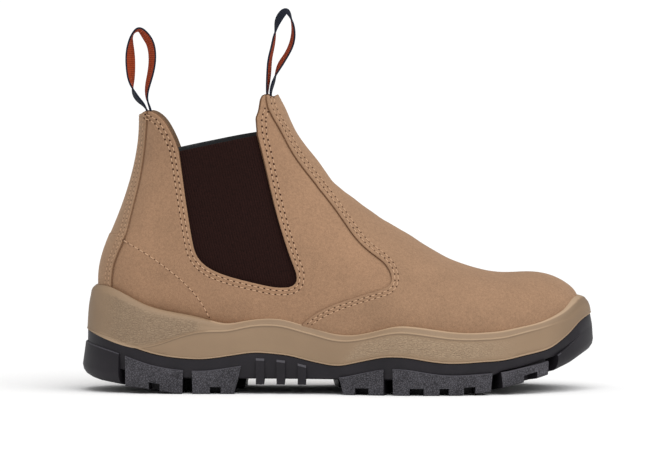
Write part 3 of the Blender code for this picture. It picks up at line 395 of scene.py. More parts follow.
# Webbing loops in the side view, from one end round to the other: shares of the loop's spread
# across and of its height up, both from the top of the tab, and the twist in degrees
REAR_LOOP = (
    (0.00, -0.20, 0), (0.00, 0.00, 0), (-0.30, 0.07, 8), (-0.72, 0.13, 14), (-1.12, 0.22, 10),
    (-1.32, 0.34, -12), (-1.40, 0.51, -27), (-1.43, 0.71, -24), (-1.38, 0.84, -9), (-1.16, 0.93, -2),
    (-0.71, 0.97, -12), (-0.17, 0.91, -24), (0.27, 0.81, -26), (0.47, 0.66, -24), (0.40, 0.51, -21),
    (0.24, 0.40, -18), (0.02, 0.26, -12), (0.02, 0.14, -4), (0.28, 0.02, 0), (0.40, -0.08, 0),
    (0.42, -0.20, 0),
)
FRONT_LOOP = (
    (0.20, -0.20, 0), (-0.14, 0.00, 0), (-0.10, 0.14, -7), (-0.02, 0.30, -11), (0.06, 0.44, -10),
    (0.25, 0.58, -8), (0.41, 0.72, -3), (0.54, 0.82, 9), (0.80, 0.93, 21), (1.30, 1.00, 15),
    (1.61, 0.93, 2), (1.80, 0.81, -7), (1.80, 0.71, -11), (1.59, 0.58, -13), (1.22, 0.47, -13),
    (0.86, 0.38, -14), (0.58, 0.29, -6), (0.32, 0.17, 6), (0.12, 0.03, 2), (0.66, -0.20, 0),
)
# Section of the webbing, one half from edge to edge: share of the half width, share of the half thickness
WEBBING_SECTION = ((-1.0, 0.25), (-0.985, 0.75), (-0.93, 1.0), (-0.80, 0.92), (-0.4, 1.0), (0.0, 1.0),
                   (0.4, 1.0), (0.80, 0.92), (0.93, 1.0), (0.985, 0.75), (1.0, 0.25))
# Share of the half width that is bright on the inside of a loop. The selvedge beyond it is dark
SELVEDGE = 0.95


def spline(knots, values):
    """The cubic curve through values at the given knots, straight at its ends."""
    x, y = np.array(knots, float), np.array(values, float)
    h = np.diff(x)
    count = len(x)
    matrix, right = np.eye(count), np.zeros(count)
    for i in range(1, count - 1):
        matrix[i, i - 1:i + 2] = h[i - 1], 2 * (h[i - 1] + h[i]), h[i]
        right[i] = 6 * ((y[i + 1] - y[i]) / h[i] - (y[i] - y[i - 1]) / h[i - 1])
    bend = np.linalg.solve(matrix, right)

    def at(t):
        t = np.asarray(t, float)
        k = np.clip(np.searchsorted(x, t) - 1, 0, count - 2)
        u, v = t - x[k], x[k + 1] - t
        curved = (bend[k] * v**3 + bend[k + 1] * u**3) / (6 * h[k])
        before = (y[k] / h[k] - bend[k] * h[k] / 6) * v
        after = (y[k + 1] / h[k] - bend[k + 1] * h[k] / 6) * u
        return curved + before + after

    return at


def run_along(points):
    """Distance run from the first point of a line to each of its points."""
    return np.concatenate([[0], np.cumsum(np.linalg.norm(np.diff(points, axis=0), axis=1))])


def unit(vectors):
    return vectors / np.linalg.norm(vectors, axis=1)[:, None]


def line_spline(points, count):
    """count points on a smooth line through the given ones, of any number of columns."""
    points = np.array(points, float)
    run = run_along(points[:, :2])
    t = np.linspace(0, run[-1], count)
    return np.stack([spline(run, column)(t) for column in points.T], axis=1)


def place_x(along):
    return (np.asarray(along, float) - 0.5) * LENGTH


def along_of(x):
    return np.asarray(x, float) / LENGTH + 0.5


def table_spline(table, size):
    """A height or width as a function of x, from a table of along and share of size."""
    rows = np.array(table, float)
    curve = spline(rows[:, 0], rows[:, 1])
    return lambda x: size * curve(np.clip(along_of(x), rows[0, 0], rows[-1, 0]))


def from_table(table, values):
    """What a table of two columns gives at the values, with straight lines between its rows."""
    rows = np.array(table, float)
    return np.interp(values, rows[:, 0], rows[:, 1])


def table_lines(table, size):
    """The same as table_spline with straight lines, so that a flat stretch is exactly flat."""
    return lambda x: size * from_table(table, along_of(x))


tray_wall = table_lines(TRAY_WALLS, TRAY_WALL)
plate = table_lines(PLATES, PLATE)
rim = table_spline(RIM, CUP_HEIGHT)
joint = table_spline(JOINT, OUTSOLE_HEIGHT)
ridge_share = table_spline(RIDGE, 1.0)
ridge_fade = table_lines(RIDGE_FADE, 1.0)
ground = table_lines(GROUND, 1.0)


def plate_bottom(x):
    """Underside of the outsole's plate, between the lugs."""
    return ground(x) + TREAD_DEPTH


def plate_middle(x):
    """Level that the lugs reach up to inside the plate."""
    return plate_bottom(x) + 0.4 * plate(x)


def plate_top(x):
    return plate_bottom(x) + plate(x)


def closed_outline():
    """Many points round the sole outline, outer side first from heel to toe, then the inner side."""
    rows = np.array(OUTLINE, float)
    outer = np.stack([place_x(rows[:, 0]), rows[:, 1]], axis=1)
    inner = np.stack([place_x(rows[:, 0]), rows[:, 2]], axis=1)[::-1]
    loop = np.concatenate([outer, inner[1:-1]])
    overlap = 4
    wrapped = np.concatenate([loop[-overlap:], loop, loop[:overlap + 1]])
    run = run_along(wrapped)
    t = np.linspace(run[overlap], run[overlap + len(loop)], OUTLINE_POINTS, endpoint=False)
    return np.stack([spline(run, column)(t) for column in wrapped.T], axis=1)


RAW_OUTLINE = closed_outline()
MIDDLE_Y = (RAW_OUTLINE[:, 1].max() + RAW_OUTLINE[:, 1].min()) / 2
HEEL_TIP = RAW_OUTLINE[:, 0].min()
TOE_TIP = RAW_OUTLINE[:, 0].max()


def outline_side(side):
    """Points and outward normals of one side of the outline, heel to toe. side is -1 outer or 1 inner."""
    points = RAW_OUTLINE - (0, MIDDLE_Y)
    tangent = np.roll(points, -1, axis=0) - np.roll(points, 1, axis=0)
    normal = unit(np.stack([tangent[:, 1], -tangent[:, 0]], axis=1))
    heel, toe = points[:, 0].argmin(), points[:, 0].argmax()
    order = np.roll(np.arange(len(points)), -heel)
    split = int(np.where(order == toe)[0][0])
    chosen = order[:split + 1] if side < 0 else np.concatenate([order[:1], order[split:][::-1]])
    return points[chosen], normal[chosen]


SIDES = {side: outline_side(side) for side in (-1, 1)}


def edge_at(x, side, outset=0.0):
    """Point of the outline at x on one side, moved outwards by outset, and its normal."""
    points, normals = SIDES[side]
    place = np.array([np.interp(x, points[:, 0], points[:, i]) for i in (0, 1)])
    normal = np.array([np.interp(x, points[:, 0], normals[:, i]) for i in (0, 1)])
    normal /= np.linalg.norm(normal)
    return place + normal * outset, normal


def side_line(table, count):
    """A table of along and share of COLLAR as a smooth line of x and z points."""
    points = line_spline(table, count)
    return np.stack([place_x(points[:, 0]), points[:, 1] * COLLAR], axis=1)


def offset_line(line, distance):
    """The line moved sideways, to its left where distance is positive."""
    tangent = np.gradient(line, axis=0)
    return line + distance * unit(np.stack([-tangent[:, 1], tangent[:, 0]], axis=1))


def last_section(row, angle):
    """Points of one ring of the last at the given angles, 0 at its back and half a turn at its front."""
    front_along, front_up, back_along, back_up, outer, inner, middle, widest, front_power, back_power = row
    to_back = np.cos(angle) > 0
    power = np.where(to_back, back_power, front_power)
    reach = np.abs(np.cos(angle)) ** (2 / power)
    share = np.where(to_back, widest * (1 - reach), widest + (1 - widest) * reach)
    half = np.where(np.sin(angle) < 0, outer, inner)
    across = middle - MIDDLE_Y + np.sign(np.sin(angle)) * half * np.abs(np.sin(angle)) ** (2 / power)
    x = place_x(back_along + (front_along - back_along) * share)
    return np.stack([x, across, back_up + (front_up - back_up) * share], axis=1)


def even_half(section, count):
    """count points spaced evenly along half a ring."""
    run = run_along(section)
    t = np.linspace(0, run[-1], count)
    return np.stack([np.interp(t, run, column) for column in section.T], axis=1)


def last_grid(steps, around):
    """Points and outward normals of the last, steps rings between two rows and around points a ring."""
    rows = np.array(LAST, float)
    t = np.concatenate([[FIRST_RING], np.linspace(0, len(rows) - 1, (len(rows) - 1) * steps + 1)[1:]])
    t = t[t >= FIRST_RING]
    columns = np.stack([spline(np.arange(len(rows)), values)(t) for values in rows.T], axis=1)
    turn = np.linspace(0, math.pi, 721)
    half = around // 2
    rings = []
    for row in columns:
        inner = even_half(last_section(row, turn), half + 1)
        outer = even_half(last_section(row, 2 * math.pi - turn), half + 1)
        rings.append(np.concatenate([inner, outer[-2:0:-1]]))
    points = np.array(rings)
    round_ring = np.roll(points, -1, axis=1) - np.roll(points, 1, axis=1)
    normals = np.cross(round_ring, np.gradient(points, axis=0))
    normals /= np.linalg.norm(normals, axis=2)[:, :, None] + 1e-12
    centre = points.mean(axis=1, keepdims=True)
    if ((points - centre) * normals).sum() < 0:
        normals = -normals
    return points, normals


def vamp_outline():
    line = side_line(VAMP_EDGE, 90)
    return line, [(line[0, 0], ABOVE), *line, (line[-1, 0], BELOW), (LENGTH, BELOW), (LENGTH, ABOVE)]


def backstay_outline():
    line = side_line(BACKSTAY_EDGE, 60)
    return line, [(line[0, 0], ABOVE), *line, (line[-1, 0], BELOW), (-LENGTH, BELOW), (-LENGTH, ABOVE)]


def collar_line():
    """The leather's top edge from the rear tab, round the gore opening, to the front tab."""
    lines = (side_line(REAR_COLLAR, 24), side_line(GORE_EDGE, 100), side_line(FRONT_COLLAR, 16))
    return np.concatenate(lines)


def collar_outline():
    line = collar_line()
    line = np.concatenate([[(-LENGTH, line[0, 1])], line, [(LENGTH, line[-1, 1])]])
    return line, [(-LENGTH, ABOVE), *line, (LENGTH, ABOVE)]


def inside(outline, points):
    """Which of the points lie inside a closed outline."""
    x, z = points.T
    found = np.zeros(len(points), bool)
    corners = list(outline)
    for (x1, z1), (x2, z2) in zip(corners, corners[1:] + corners[:1]):
        if z1 != z2:
            found ^= ((z1 > z) != (z2 > z)) & (x < (x2 - x1) * (z - z1) / (z2 - z1) + x1)
    return found


def distance_to(line, points):
    """Distance in the side view from each point to a line."""
    best = np.full(len(points), np.inf)
    for a, b in zip(line, line[1:]):
        run = b - a
        share = np.clip(((points - a) @ run) / max(run @ run, 1e-18), 0, 1)
        best = np.minimum(best, np.linalg.norm(points - a - share[:, None] * run, axis=1))
    return best


def signed_distance(line, outline, points):
    """Distance to the line, positive inside the outline."""
    return np.where(inside(outline, points), 1, -1) * distance_to(line, points)


def bridge(bm, rings):
    """Faces between each closed ring of corners and the next."""
    for lower, upper in zip(rings, rings[1:]):
        for i in range(len(lower)):
            k = (i + 1) % len(lower)
            bm.faces.new((lower[i], lower[k], upper[k], upper[i]))


def surface_bmesh(steps, around):
    """The last's surface, with its normals and its distances to the side-view lines kept in layers."""
    points, normals = last_grid(steps, around)
    flat, flat_normals = points.reshape(-1, 3), normals.reshape(-1, 3)
    side = flat[:, [0, 2]]
    bm = bmesh.new()
    layers = {name: bm.verts.layers.float.new(name) for name in ("vamp", "strip", "edge", "gore", "cap")}
    layers["normal"] = bm.verts.layers.float_vector.new("normal")
    values = {
        "vamp": signed_distance(*vamp_outline(), side),
        "strip": signed_distance(*backstay_outline(), side),
        "edge": -signed_distance(*collar_outline(), side),
        "gore": gore_distance(side),
        "cap": CAP_TOP - side[:, 1],
    }
    for i, point in enumerate(flat):
        vert = bm.verts.new(point)
        for name, column in values.items():
            vert[layers[name]] = column[i]
        vert[layers["normal"]] = flat_normals[i]
    verts = list(bm.verts)
    rings = [verts[start:start + around] for start in range(0, len(verts), around)]
    bridge(bm, rings)
    bm.faces.new(rings[0][::-1])
    bm.normal_update()
    bm.faces.ensure_lookup_table()
    sample = bm.faces[len(bm.faces) // 2]
    if sample.normal.dot(sample.verts[0][layers["normal"]]) < 0:
        bmesh.ops.reverse_faces(bm, faces=bm.faces)
    return bm, layers


def gore_distance(points):
    """How far a side-view point lies inside the gore panel, which runs under the leather by GORE_LAP."""
    edge = side_line(GORE_EDGE, 100)
    lean = 0.2 * (ABOVE - edge[0, 1])
    outline = [(edge[0, 0] - lean, ABOVE), *edge, (edge[-1, 0] - lean, ABOVE)]
    return signed_distance(edge, outline, points) + GORE_LAP


def cut_along(bm, layer, levels):
    """Cuts the faces so that each level of a layer runs along edges."""
    for level in levels:
        on_level = set()
        for vert in bm.verts:
            if abs(vert[layer] - level) < SNAP:
                vert[layer] = level
                on_level.add(vert)
        for edge in list(bm.edges):
            a, b = edge.verts
            if (a[layer] - level) * (b[layer] - level) < 0:
                share = (level - a[layer]) / (b[layer] - a[layer])
                _, vert = bmesh.utils.edge_split(edge, a, share)
                vert[layer] = level
                on_level.add(vert)
        faces = {face for vert in on_level for face in vert.link_faces}
        for face in faces:
            ends = [vert for vert in face.verts if vert in on_level]
            if len(ends) == 2 and not any(set(ends) == set(edge.verts) for edge in face.edges):
                bmesh.utils.face_split(face, ends[0], ends[1])


def leave_out(bm, test):
    """Removes the faces whose middle meets the test, and the points that this leaves loose."""
    gone = [face for face in bm.faces if test(face)]
    bmesh.ops.delete(bm, geom=gone, context="FACES")


def mean_of(face, layer):
    return sum(vert[layer] for vert in face.verts) / len(face.verts)


def give_materials(obj, materials):
    obj.data.materials.clear()
    for material in materials:
        obj.data.materials.append(material)


def object_from(bm, name, materials, smooth=True):
    mesh = bpy.data.meshes.new(name)
    bm.to_mesh(mesh)
    bm.free()
    for material in materials:
        mesh.materials.append(material)
    if smooth:
        mesh.shade_smooth()
    obj = bpy.data.objects.new(name, mesh)
    bpy.context.scene.collection.objects.link(obj)
    return obj


def crease_height(point):
    """Height of the leather's soft troughs and swells, placed in the side view."""
    height = 0.0
    for along, up, half_length, half_width, lean, rise in CREASES:
        turn = math.radians(lean)
        x, z = point.x - place_x(along), point.z - up * COLLAR
        run = (x * math.cos(turn) + z * math.sin(turn)) / (half_length * COLLAR)
        across = (z * math.cos(turn) - x * math.sin(turn)) / (half_width * COLLAR)
        height += rise * OVERLAY * math.exp(-run * run - across * across)
    return height


def skin_height(vert, layers):
    """Height of the outer leather above the quarters' surface."""
    seams = from_table(SEAM_PROFILE, vert[layers["vamp"]])
    seams += from_table(STRIP_PROFILE, vert[layers["strip"]])
    if vert[layers["strip"]] > 0:
        seams += from_table(CAP_PROFILE, vert[layers["cap"]])
    edge = EDGE_DROP * from_table(EDGE_PROFILE, vert[layers["edge"]])
    return OVERLAY * seams + edge + crease_height(vert.co)


def make_skin(materials):
    """The outer leather: quarters, vamp and backstay with their raised edges and stitch rows."""
    bm, layers = surface_bmesh(*SKIN_GRID)
    leave_out(bm, lambda face: face.calc_center_median().z < rim(face.calc_center_median().x) - SKIRT)
    leave_out(bm, lambda face: mean_of(face, layers["edge"]) < -SPARE)
    cut_along(bm, layers["edge"], [row[0] for row in EDGE_PROFILE])
    leave_out(bm, lambda face: mean_of(face, layers["edge"]) < 0)
    cut_along(bm, layers["vamp"], [row[0] for row in SEAM_PROFILE])
    cut_along(bm, layers["strip"], [row[0] for row in STRIP_PROFILE])
    cut_along(bm, layers["cap"], [row[0] for row in CAP_PROFILE[:4]])
    for face in bm.faces:
        vamp, strip = mean_of(face, layers["vamp"]), mean_of(face, layers["strip"])
        # The step walls of the cut edges get a darker colour: the raw edge's own colour, which also paints
        # in the shade of the step
        if 0 < vamp < CUT_WIDTH:
            face.material_index = 3
        elif 0 < strip < CUT_WIDTH:
            face.material_index = 4
        elif vamp > 0:
            face.material_index = 1
        elif strip > 0:
            face.material_index = 2
        face.smooth = True
    for edge in bm.edges:
        a, b = edge.verts
        if any(a[layers[name]] == b[layers[name]] == 0 for name in ("vamp", "strip")):
            edge.smooth = False
    add_cut_edge(bm, layers)
    bm.normal_update()
    return object_from(bm, "upper_leather", materials, smooth=False)


def add_cut_edge(bm, layers):
    """Moves the leather to its height and adds the narrow face of its cut edge round the collar."""
    edge_layer, normal_layer = layers["edge"], layers["normal"]
    border = [edge for edge in bm.edges if edge.is_boundary
              and all(abs(vert[edge_layer]) < 1e-9 for vert in edge.verts)]
    inner = {}
    for edge in border:
        for vert in edge.verts:
            if vert not in inner:
                normal = Vector(vert[normal_layer])
                inner[vert] = bm.verts.new(vert.co - normal * (OVERLAY + LEATHER))
                inner[vert][edge_layer] = 1.0
    for vert in list(bm.verts):
        if vert[edge_layer] == 1.0 and vert in inner.values():
            continue
        normal = Vector(vert[normal_layer])
        vert.co += normal * (skin_height(vert, layers) - OVERLAY)
    for edge in border:
        loop = next(loop for loop in edge.link_faces[0].loops if loop.edge == edge)
        first, second = loop.vert, loop.link_loop_next.vert
        made = bm.faces.new((second, first, inner[first], inner[second]))
        made.material_index = 3
        made.smooth = True
        edge.smooth = False


def make_lining(material):
    """The inside of the upper."""
    bm, layers = surface_bmesh(*LINING_GRID)
    leave_out(bm, lambda face: mean_of(face, layers["edge"]) < -LINING_SPARE)
    cut_along(bm, layers["edge"], [0.0])
    leave_out(bm, lambda face: mean_of(face, layers["edge"]) < 0)
    for vert in bm.verts:
        vert.co -= Vector(vert[layers["normal"]]) * (OVERLAY + LEATHER)
    leave_out(bm, lambda face: face.calc_center_median().z < SEAT + LINING_FOOT)
    bmesh.ops.reverse_faces(bm, faces=bm.faces)
    return object_from(bm, "upper_lining", [material])


def make_gore(name, side, materials):
    """An elastic panel behind one opening, cut off straight along its top edge."""
    bm, layers = surface_bmesh(*SKIN_GRID)
    gore, normal = layers["gore"], layers["normal"]
    leave_out(bm, lambda face: mean_of(face, gore) < -SPARE or face.calc_center_median().y * side < SPARE)
    cut_along(bm, gore, [0.0])
    leave_out(bm, lambda face: mean_of(face, gore) < 0)
    rise = INNER_GORE_RISE if side > 0 else 0.0
    (x1, z1), (x2, z2) = [(float(place_x(along)), up * COLLAR + rise) for along, up in GORE_TOP]
    bmesh.ops.bisect_plane(
        bm, geom=[*bm.verts, *bm.edges, *bm.faces], plane_co=(x1, 0, z1), plane_no=(z1 - z2, 0, x2 - x1),
        clear_outer=True)
    for vert in bm.verts:
        vert.co -= Vector(vert[normal]) * (OVERLAY + LEATHER + GAP)
    panel = object_from(bm, name, materials)
    thick = panel.modifiers.new("thickness", "SOLIDIFY")
    thick.thickness = GORE
    thick.offset = -1.0
    thick.material_offset = 1
    thick.material_offset_rim = 2
    return panel


def sole_stations(count):
    """x of each station along the sole, closer together near the ends."""
    turn = np.linspace(0, math.pi, count)
    spread = 0.5 - 0.5 * np.cos(turn)
    return HEEL_TIP + (TOE_TIP - HEEL_TIP) * (0.6 * spread + 0.4 * turn / math.pi)


STATIONS = sole_stations(SOLE_STATIONS)


def sole_ring(outset, height):
    """A ring of points round the sole, from the heel's tip up the outer side and back on the inner."""
    outer = [(x, -1) for x in STATIONS]
    inner = [(x, 1) for x in STATIONS[-2:0:-1]]
    ring = []
    for x, side in outer + inner:
        (px, py), _ = edge_at(x, side, float(outset(x)))
        ring.append((px, py, float(height(x))))
    return ring


def turned_out(bm):
    """Turns the faces of a closed form outwards."""
    bmesh.ops.recalc_face_normals(bm, faces=bm.faces)
    if bm.calc_volume(signed=True) < 0:
        bmesh.ops.reverse_faces(bm, faces=bm.faces)


def sole_solid(name, rings):
    """A closed solid of rings round the sole, its top and bottom crossed by a ladder of faces."""
    bm = bmesh.new()
    verts = [[bm.verts.new(p) for p in ring] for ring in rings]
    count = len(rings[0])
    bridge(bm, verts)
    for ring in (verts[0], verts[-1]):
        for i in range(SOLE_STATIONS - 1):
            corners = [ring[i], ring[i + 1], ring[(count - i - 1) % count], ring[(count - i) % count]]
            bm.faces.new(list(dict.fromkeys(corners)))
    turned_out(bm)
    return object_from(bm, name, [])


def constant(value):
    return lambda x: value


def add_loft(bm, sections):
    """A closed solid through sections with the same number of points, its two ends capped flat."""
    rings = [[bm.verts.new(p) for p in section] for section in sections]
    bridge(bm, rings)
    bm.faces.new(rings[0][::-1])
    bm.faces.new(rings[-1])


def boolean(obj, other, operation, overlapping=False):
    """Cuts or joins obj with other and removes other."""
    modifier = obj.modifiers.new(operation, "BOOLEAN")
    modifier.operation = operation
    modifier.object = other
    modifier.use_self = overlapping
    settle(obj)
    bpy.data.objects.remove(other)
    return obj


def settle(obj):
    """Puts the result of the object's modifiers into its mesh."""
    bpy.context.view_layer.update()
    shown = obj.evaluated_get(bpy.context.evaluated_depsgraph_get())
    mesh = bpy.data.meshes.new_from_object(shown)
    obj.modifiers.clear()
    obj.data = mesh


def prism(name, outline):
    """A closed side-view outline of x and z points, drawn out across the boot."""
    bm = bmesh.new()
    face = bm.faces.new([bm.verts.new((x, -HALF_SPAN, z)) for x, z in outline])
    drawn = bmesh.ops.extrude_face_region(bm, geom=[face])["geom"]
    moved = [item for item in drawn if isinstance(item, bmesh.types.BMVert)]
    bmesh.ops.translate(bm, verts=moved, vec=(0, 2 * HALF_SPAN, 0))
    turned_out(bm)
    return object_from(bm, name, [], smooth=False)


def last_form(name, grow):
    """The last as a solid, grown by grow all round."""
    points, normals = last_grid(*FORM_GRID)
    bm = bmesh.new()
    add_loft(bm, points + normals * grow)
    turned_out(bm)
    return object_from(bm, name, [])


def leather_forms(grow):
    """Three solids that together fill the outside of the upper: quarters, vamp and backstay."""
    forms = [last_form("quarters_form", grow - OVERLAY)]
    for part, (_, outline) in (("vamp", vamp_outline()), ("backstay", backstay_outline())):
        raised = last_form(f"{part}_form", grow)
        forms.append(boolean(raised, prism(f"{part}_region", outline), "INTERSECT"))
    return forms


def at_ridge(x):
    return joint(x) + ridge_share(x) * (rim(x) - joint(x))


def rim_inset(x):
    return float(np.interp(along_of(x), (0.93, 0.99), (RIM_INSET, TOE_RIM_INSET)))


def midsole_rings():
    """Rings of the midsole from the plug in the outsole's tray, out over the joint and up the side."""
    profile = spline(*np.array(RIM_PROFILE).T)

    def low(share):
        return lambda x: joint(x) + share * LIP

    def panel(share):
        return lambda x: joint(x) + LIP + share * (at_ridge(x) - RIDGE_FOOT - joint(x) - LIP)

    def near_ridge(rise):
        return lambda x: at_ridge(x) + rise

    def band(share):
        return lambda x: at_ridge(x) + RIDGE_HEAD + share * (rim(x) - at_ridge(x) - RIDGE_HEAD)

    def out(step):
        return lambda x: step * RIDGE_STEP * ridge_fade(x)

    def band_out(share):
        cove = COVE * math.sin(math.pi * min(1.0, share / 0.75)) ** 2
        return lambda x: -rim_inset(x) * float(profile(share)) - cove * float(ridge_fade(x))

    yield sole_ring(lambda x: -tray_wall(x) - PLUG_INSET, lambda x: plate_top(x) + 2 * GAP)
    yield sole_ring(lambda x: -tray_wall(x), joint)
    yield sole_ring(constant(-JOINT_SETBACK), joint)
    for share, outset in LIP_PROFILE:
        yield sole_ring(constant(outset), low(share))
    for share, step in PANEL_PROFILE:
        yield sole_ring(out(step), panel(share))
    for rise, step in STEP_PROFILE:
        yield sole_ring(out(step), near_ridge(rise))
    for share in BAND_SHARES:
        yield sole_ring(band_out(share), band(share))


def make_midsole(material):
    """The cup midsole, hollowed where the upper stands in it."""
    midsole = sole_solid("midsole_cup", list(midsole_rings()))
    for form in leather_forms(HAIR):
        boolean(midsole, form, "DIFFERENCE")
    give_materials(midsole, [material])
    midsole.data.shade_smooth()
    midsole.data.set_sharp_from_angle(angle=math.radians(50))
    add_grain_and_painted_light(midsole)
    return midsole


def midsole_grain(along, level, ridge):
    """Where the heel above the ridge and the forefoot below it carry a moulded leather grain."""
    heel = np.interp(level - ridge, (0.02, 0.07), (0, 1)) * np.interp(level, (0.86, 0.94), (1, 0))
    heel *= np.interp(along, (0.035, 0.075, 0.224, 0.236), (0, 1, 1, 0))
    fore = np.interp(ridge - level, (0.05, 0.10), (0, 1)) * np.interp(level, (0.14, 0.19), (0, 1))
    fore *= np.interp(along + 0.05 * (1 - level), (0.545, 0.565), (0, 1))
    fore *= np.interp(along, (0.76, 0.86), (1, 0))
    return heel, fore


def midsole_painted_light(along, height, below_rim, over_ridge):
    """Painted highlights on the midsole's lip, ridge and rim, and painted shade just under the ridge, in
    the band under the rim, at the back of the heel and round the toe end.
    """
    ridge_shown = np.interp(along, (0.11, 0.14, 0.86, 0.93), (0, 1, 1, 0))
    ridge_highlight = np.interp(over_ridge, (-0.0001, 0.0001, 0.0007, 0.0011), (0, 1, 1, 0))
    shadow_under_ridge = np.interp(over_ridge, (-0.0006, -0.0003, 0.0, 0.0002), (0, 1, 0.6, 0))
    shade_under_rim = np.interp(below_rim, (0.0007, 0.0013, 0.0040, 0.0060), (0, 1, 1, 0))
    shade_under_rim *= (over_ridge > RIDGE_HEAD) * np.interp(along, (0.20, 0.30), (0, 1))
    # Painted highlight on the lip over the joint
    shade = np.interp(height, (0.0006, 0.0010), (0.40, 0))
    # Painted highlight along the rim's top edge, under the leather
    shade += (along > 0.25) * np.interp(below_rim, (0.0004, 0.0007), (0.55, 0))
    # Painted highlight along the ridge
    shade += (along > 0.25) * 0.30 * ridge_shown * ridge_highlight
    # Painted shadow just under the ridge and painted shade in the band under the rim
    shade -= 0.55 * ridge_shown * shadow_under_ridge + 0.14 * shade_under_rim
    # Painted shade at the back of the heel and round the toe end
    return shade - np.interp(along, (0.0, 0.05, 0.90, 0.97), (0.30, 0, 0, 0.34))


def add_grain_and_painted_light(midsole):
    """Keeps where the midsole is grained, and its painted highlights and painted shade, as attributes that
    its material reads.
    """
    mesh = midsole.data
    co = np.zeros(len(mesh.vertices) * 3)
    mesh.vertices.foreach_get("co", co)
    x, _, z = co.reshape(-1, 3).T
    along, height, ridge = along_of(x), z - joint(x), ridge_share(x)
    side = rim(x) - joint(x)
    level = height / side
    heel, fore = midsole_grain(along, level, ridge)
    # Painted shade on the grained heel panel and painted light on the grained forefoot panel
    shade = midsole_painted_light(along, height, rim(x) - z, (level - ridge) * side) - 0.20 * heel + 0.12 * fore
    for name, values in (("grain", np.clip(heel + fore, 0, 1)), ("shade", shade)):
        attribute = mesh.attributes.new(name, "FLOAT", "POINT")
        attribute.data.foreach_set("value", values.astype(np.float32))


def end_flare(x):
    """Extra outset of the lugs at the two ends of the sole."""
    heel = np.interp(along_of(x), (0.0, 0.10), (HEEL_FLARE, LUG_PROUD))
    toe = np.interp(along_of(x), (0.90, 1.0), (LUG_PROUD, TOE_FLARE))
    return max(float(heel), float(toe))


def toe_bulge(x):
    """Outset of the outsole's side: round the toe it swells out level with the lug."""
    return float(np.interp(along_of(x), (0.925, 0.965), (-SIDE_INSET, 1.05 * LUG_PROUD)))


def lug_top(x):
    return joint(x) - LUG_BAND


def stretch(start, end, side):
    """Stations x and side along one side from start to end."""
    count = max(3, int(round((end - start) / LUG_STEP)) + 1)
    return [(x, side) for x in np.linspace(start, end, count)]


def wrap(tip, open_end):
    """Stations round one end of the sole, from the outer side through the tip to the inner side."""
    turn = np.linspace(0, 1, 22)[1:]
    places = tip + (open_end - tip) * turn**2
    return [(x, -1) for x in places[::-1]] + [(tip, -1)] + [(x, 1) for x in places]


def add_lug(bm, stations, rounding, width=LUG_WIDTH, leans=(0.0, 0.0)):
    """A block under the edge of the sole: a band up its side, and a foot that reaches inwards."""
    sections = []
    corner = [(1 - math.cos(turn), 1 - math.sin(turn)) for turn in np.linspace(0, math.pi / 2, 5)]
    for x, side in stations:
        place, normal = edge_at(x, side)
        root = place - normal * width
        outset, bottom, wall = end_flare(x), float(ground(x)), float(tray_wall(x))
        profile = (
            (LUG_PROUD, lug_top(x) - LUG_CHAMFER), (0.2 * LUG_PROUD, lug_top(x)),
            (-0.7 * wall, lug_top(x)), (-0.9 * wall, plate_middle(x)),
            (-width, plate_middle(root[0])), (-width, ground(root[0])),
            *((outset - rounding * out, bottom + rounding * up) for out, up in corner[::-1]),
        )
        sections.append([(*(place + normal * reach), float(z)) for reach, z in profile])
    for section, lean in ((sections[0], leans[0]), (sections[-1], -leans[1])):
        top, bottom = section[1][2], section[5][2]
        for i, (x, y, z) in enumerate(section):
            share = min(1.0, max(0.0, (top - z) / (top - bottom)))
            section[i] = (x + lean * LUG_LEAN * share, y, z)
    add_loft(bm, sections)


def add_block(bm, along, share, length, width, turn):
    """A block in the middle of the tread."""
    x = float(place_x(along))
    low, high = edge_at(x, -1)[0][1], edge_at(x, 1)[0][1]
    centre = np.array([x, low + share * (high - low)])
    angle = math.radians(turn)
    forward = np.array([math.cos(angle), math.sin(angle)])
    sideways = np.array([-forward[1], forward[0]])
    half_length, half_width = length * BLOCK_LENGTH / 2, width * BLOCK_WIDTH / 2
    corners = [centre + a * half_length * forward + b * half_width * sideways
               for a, b in ((-1, -1), (1, -1), (1, 1), (-1, 1))]
    bottom = [(*corner, float(ground(corner[0]))) for corner in corners]
    top = [(*corner, float(plate_middle(corner[0]))) for corner in corners]
    add_loft(bm, [bottom, top])


def add_waist_bar(bm, along):
    """A bar across the waist, standing proud of the plate's underside and of both its sides."""
    sections = []
    centre = float(place_x(along))
    for x in (centre - BAR_WIDTH / 2, centre + BAR_WIDTH / 2):
        outer, inner = edge_at(x, -1, LUG_PROUD)[0], edge_at(x, 1, LUG_PROUD)[0]
        outer_in, inner_in = edge_at(x, -1, -0.55 * TRAY_WALL)[0], edge_at(x, 1, -0.55 * TRAY_WALL)[0]
        low, top = float(plate_bottom(x)) - BAR_DROP, float(joint(x)) - BAR_TOP
        inside_z = float(plate_middle(x))
        sections.append([
            (x, outer[1], low), (x, outer[1], top - BAR_CHAMFER), (x, outer[1] + LUG_PROUD, top),
            (x, outer_in[1], top), (x, outer_in[1], inside_z), (x, inner_in[1], inside_z),
            (x, inner_in[1], top), (x, inner[1] - LUG_PROUD, top), (x, inner[1], top - BAR_CHAMFER),
            (x, inner[1], low),
        ])
    add_loft(bm, sections)


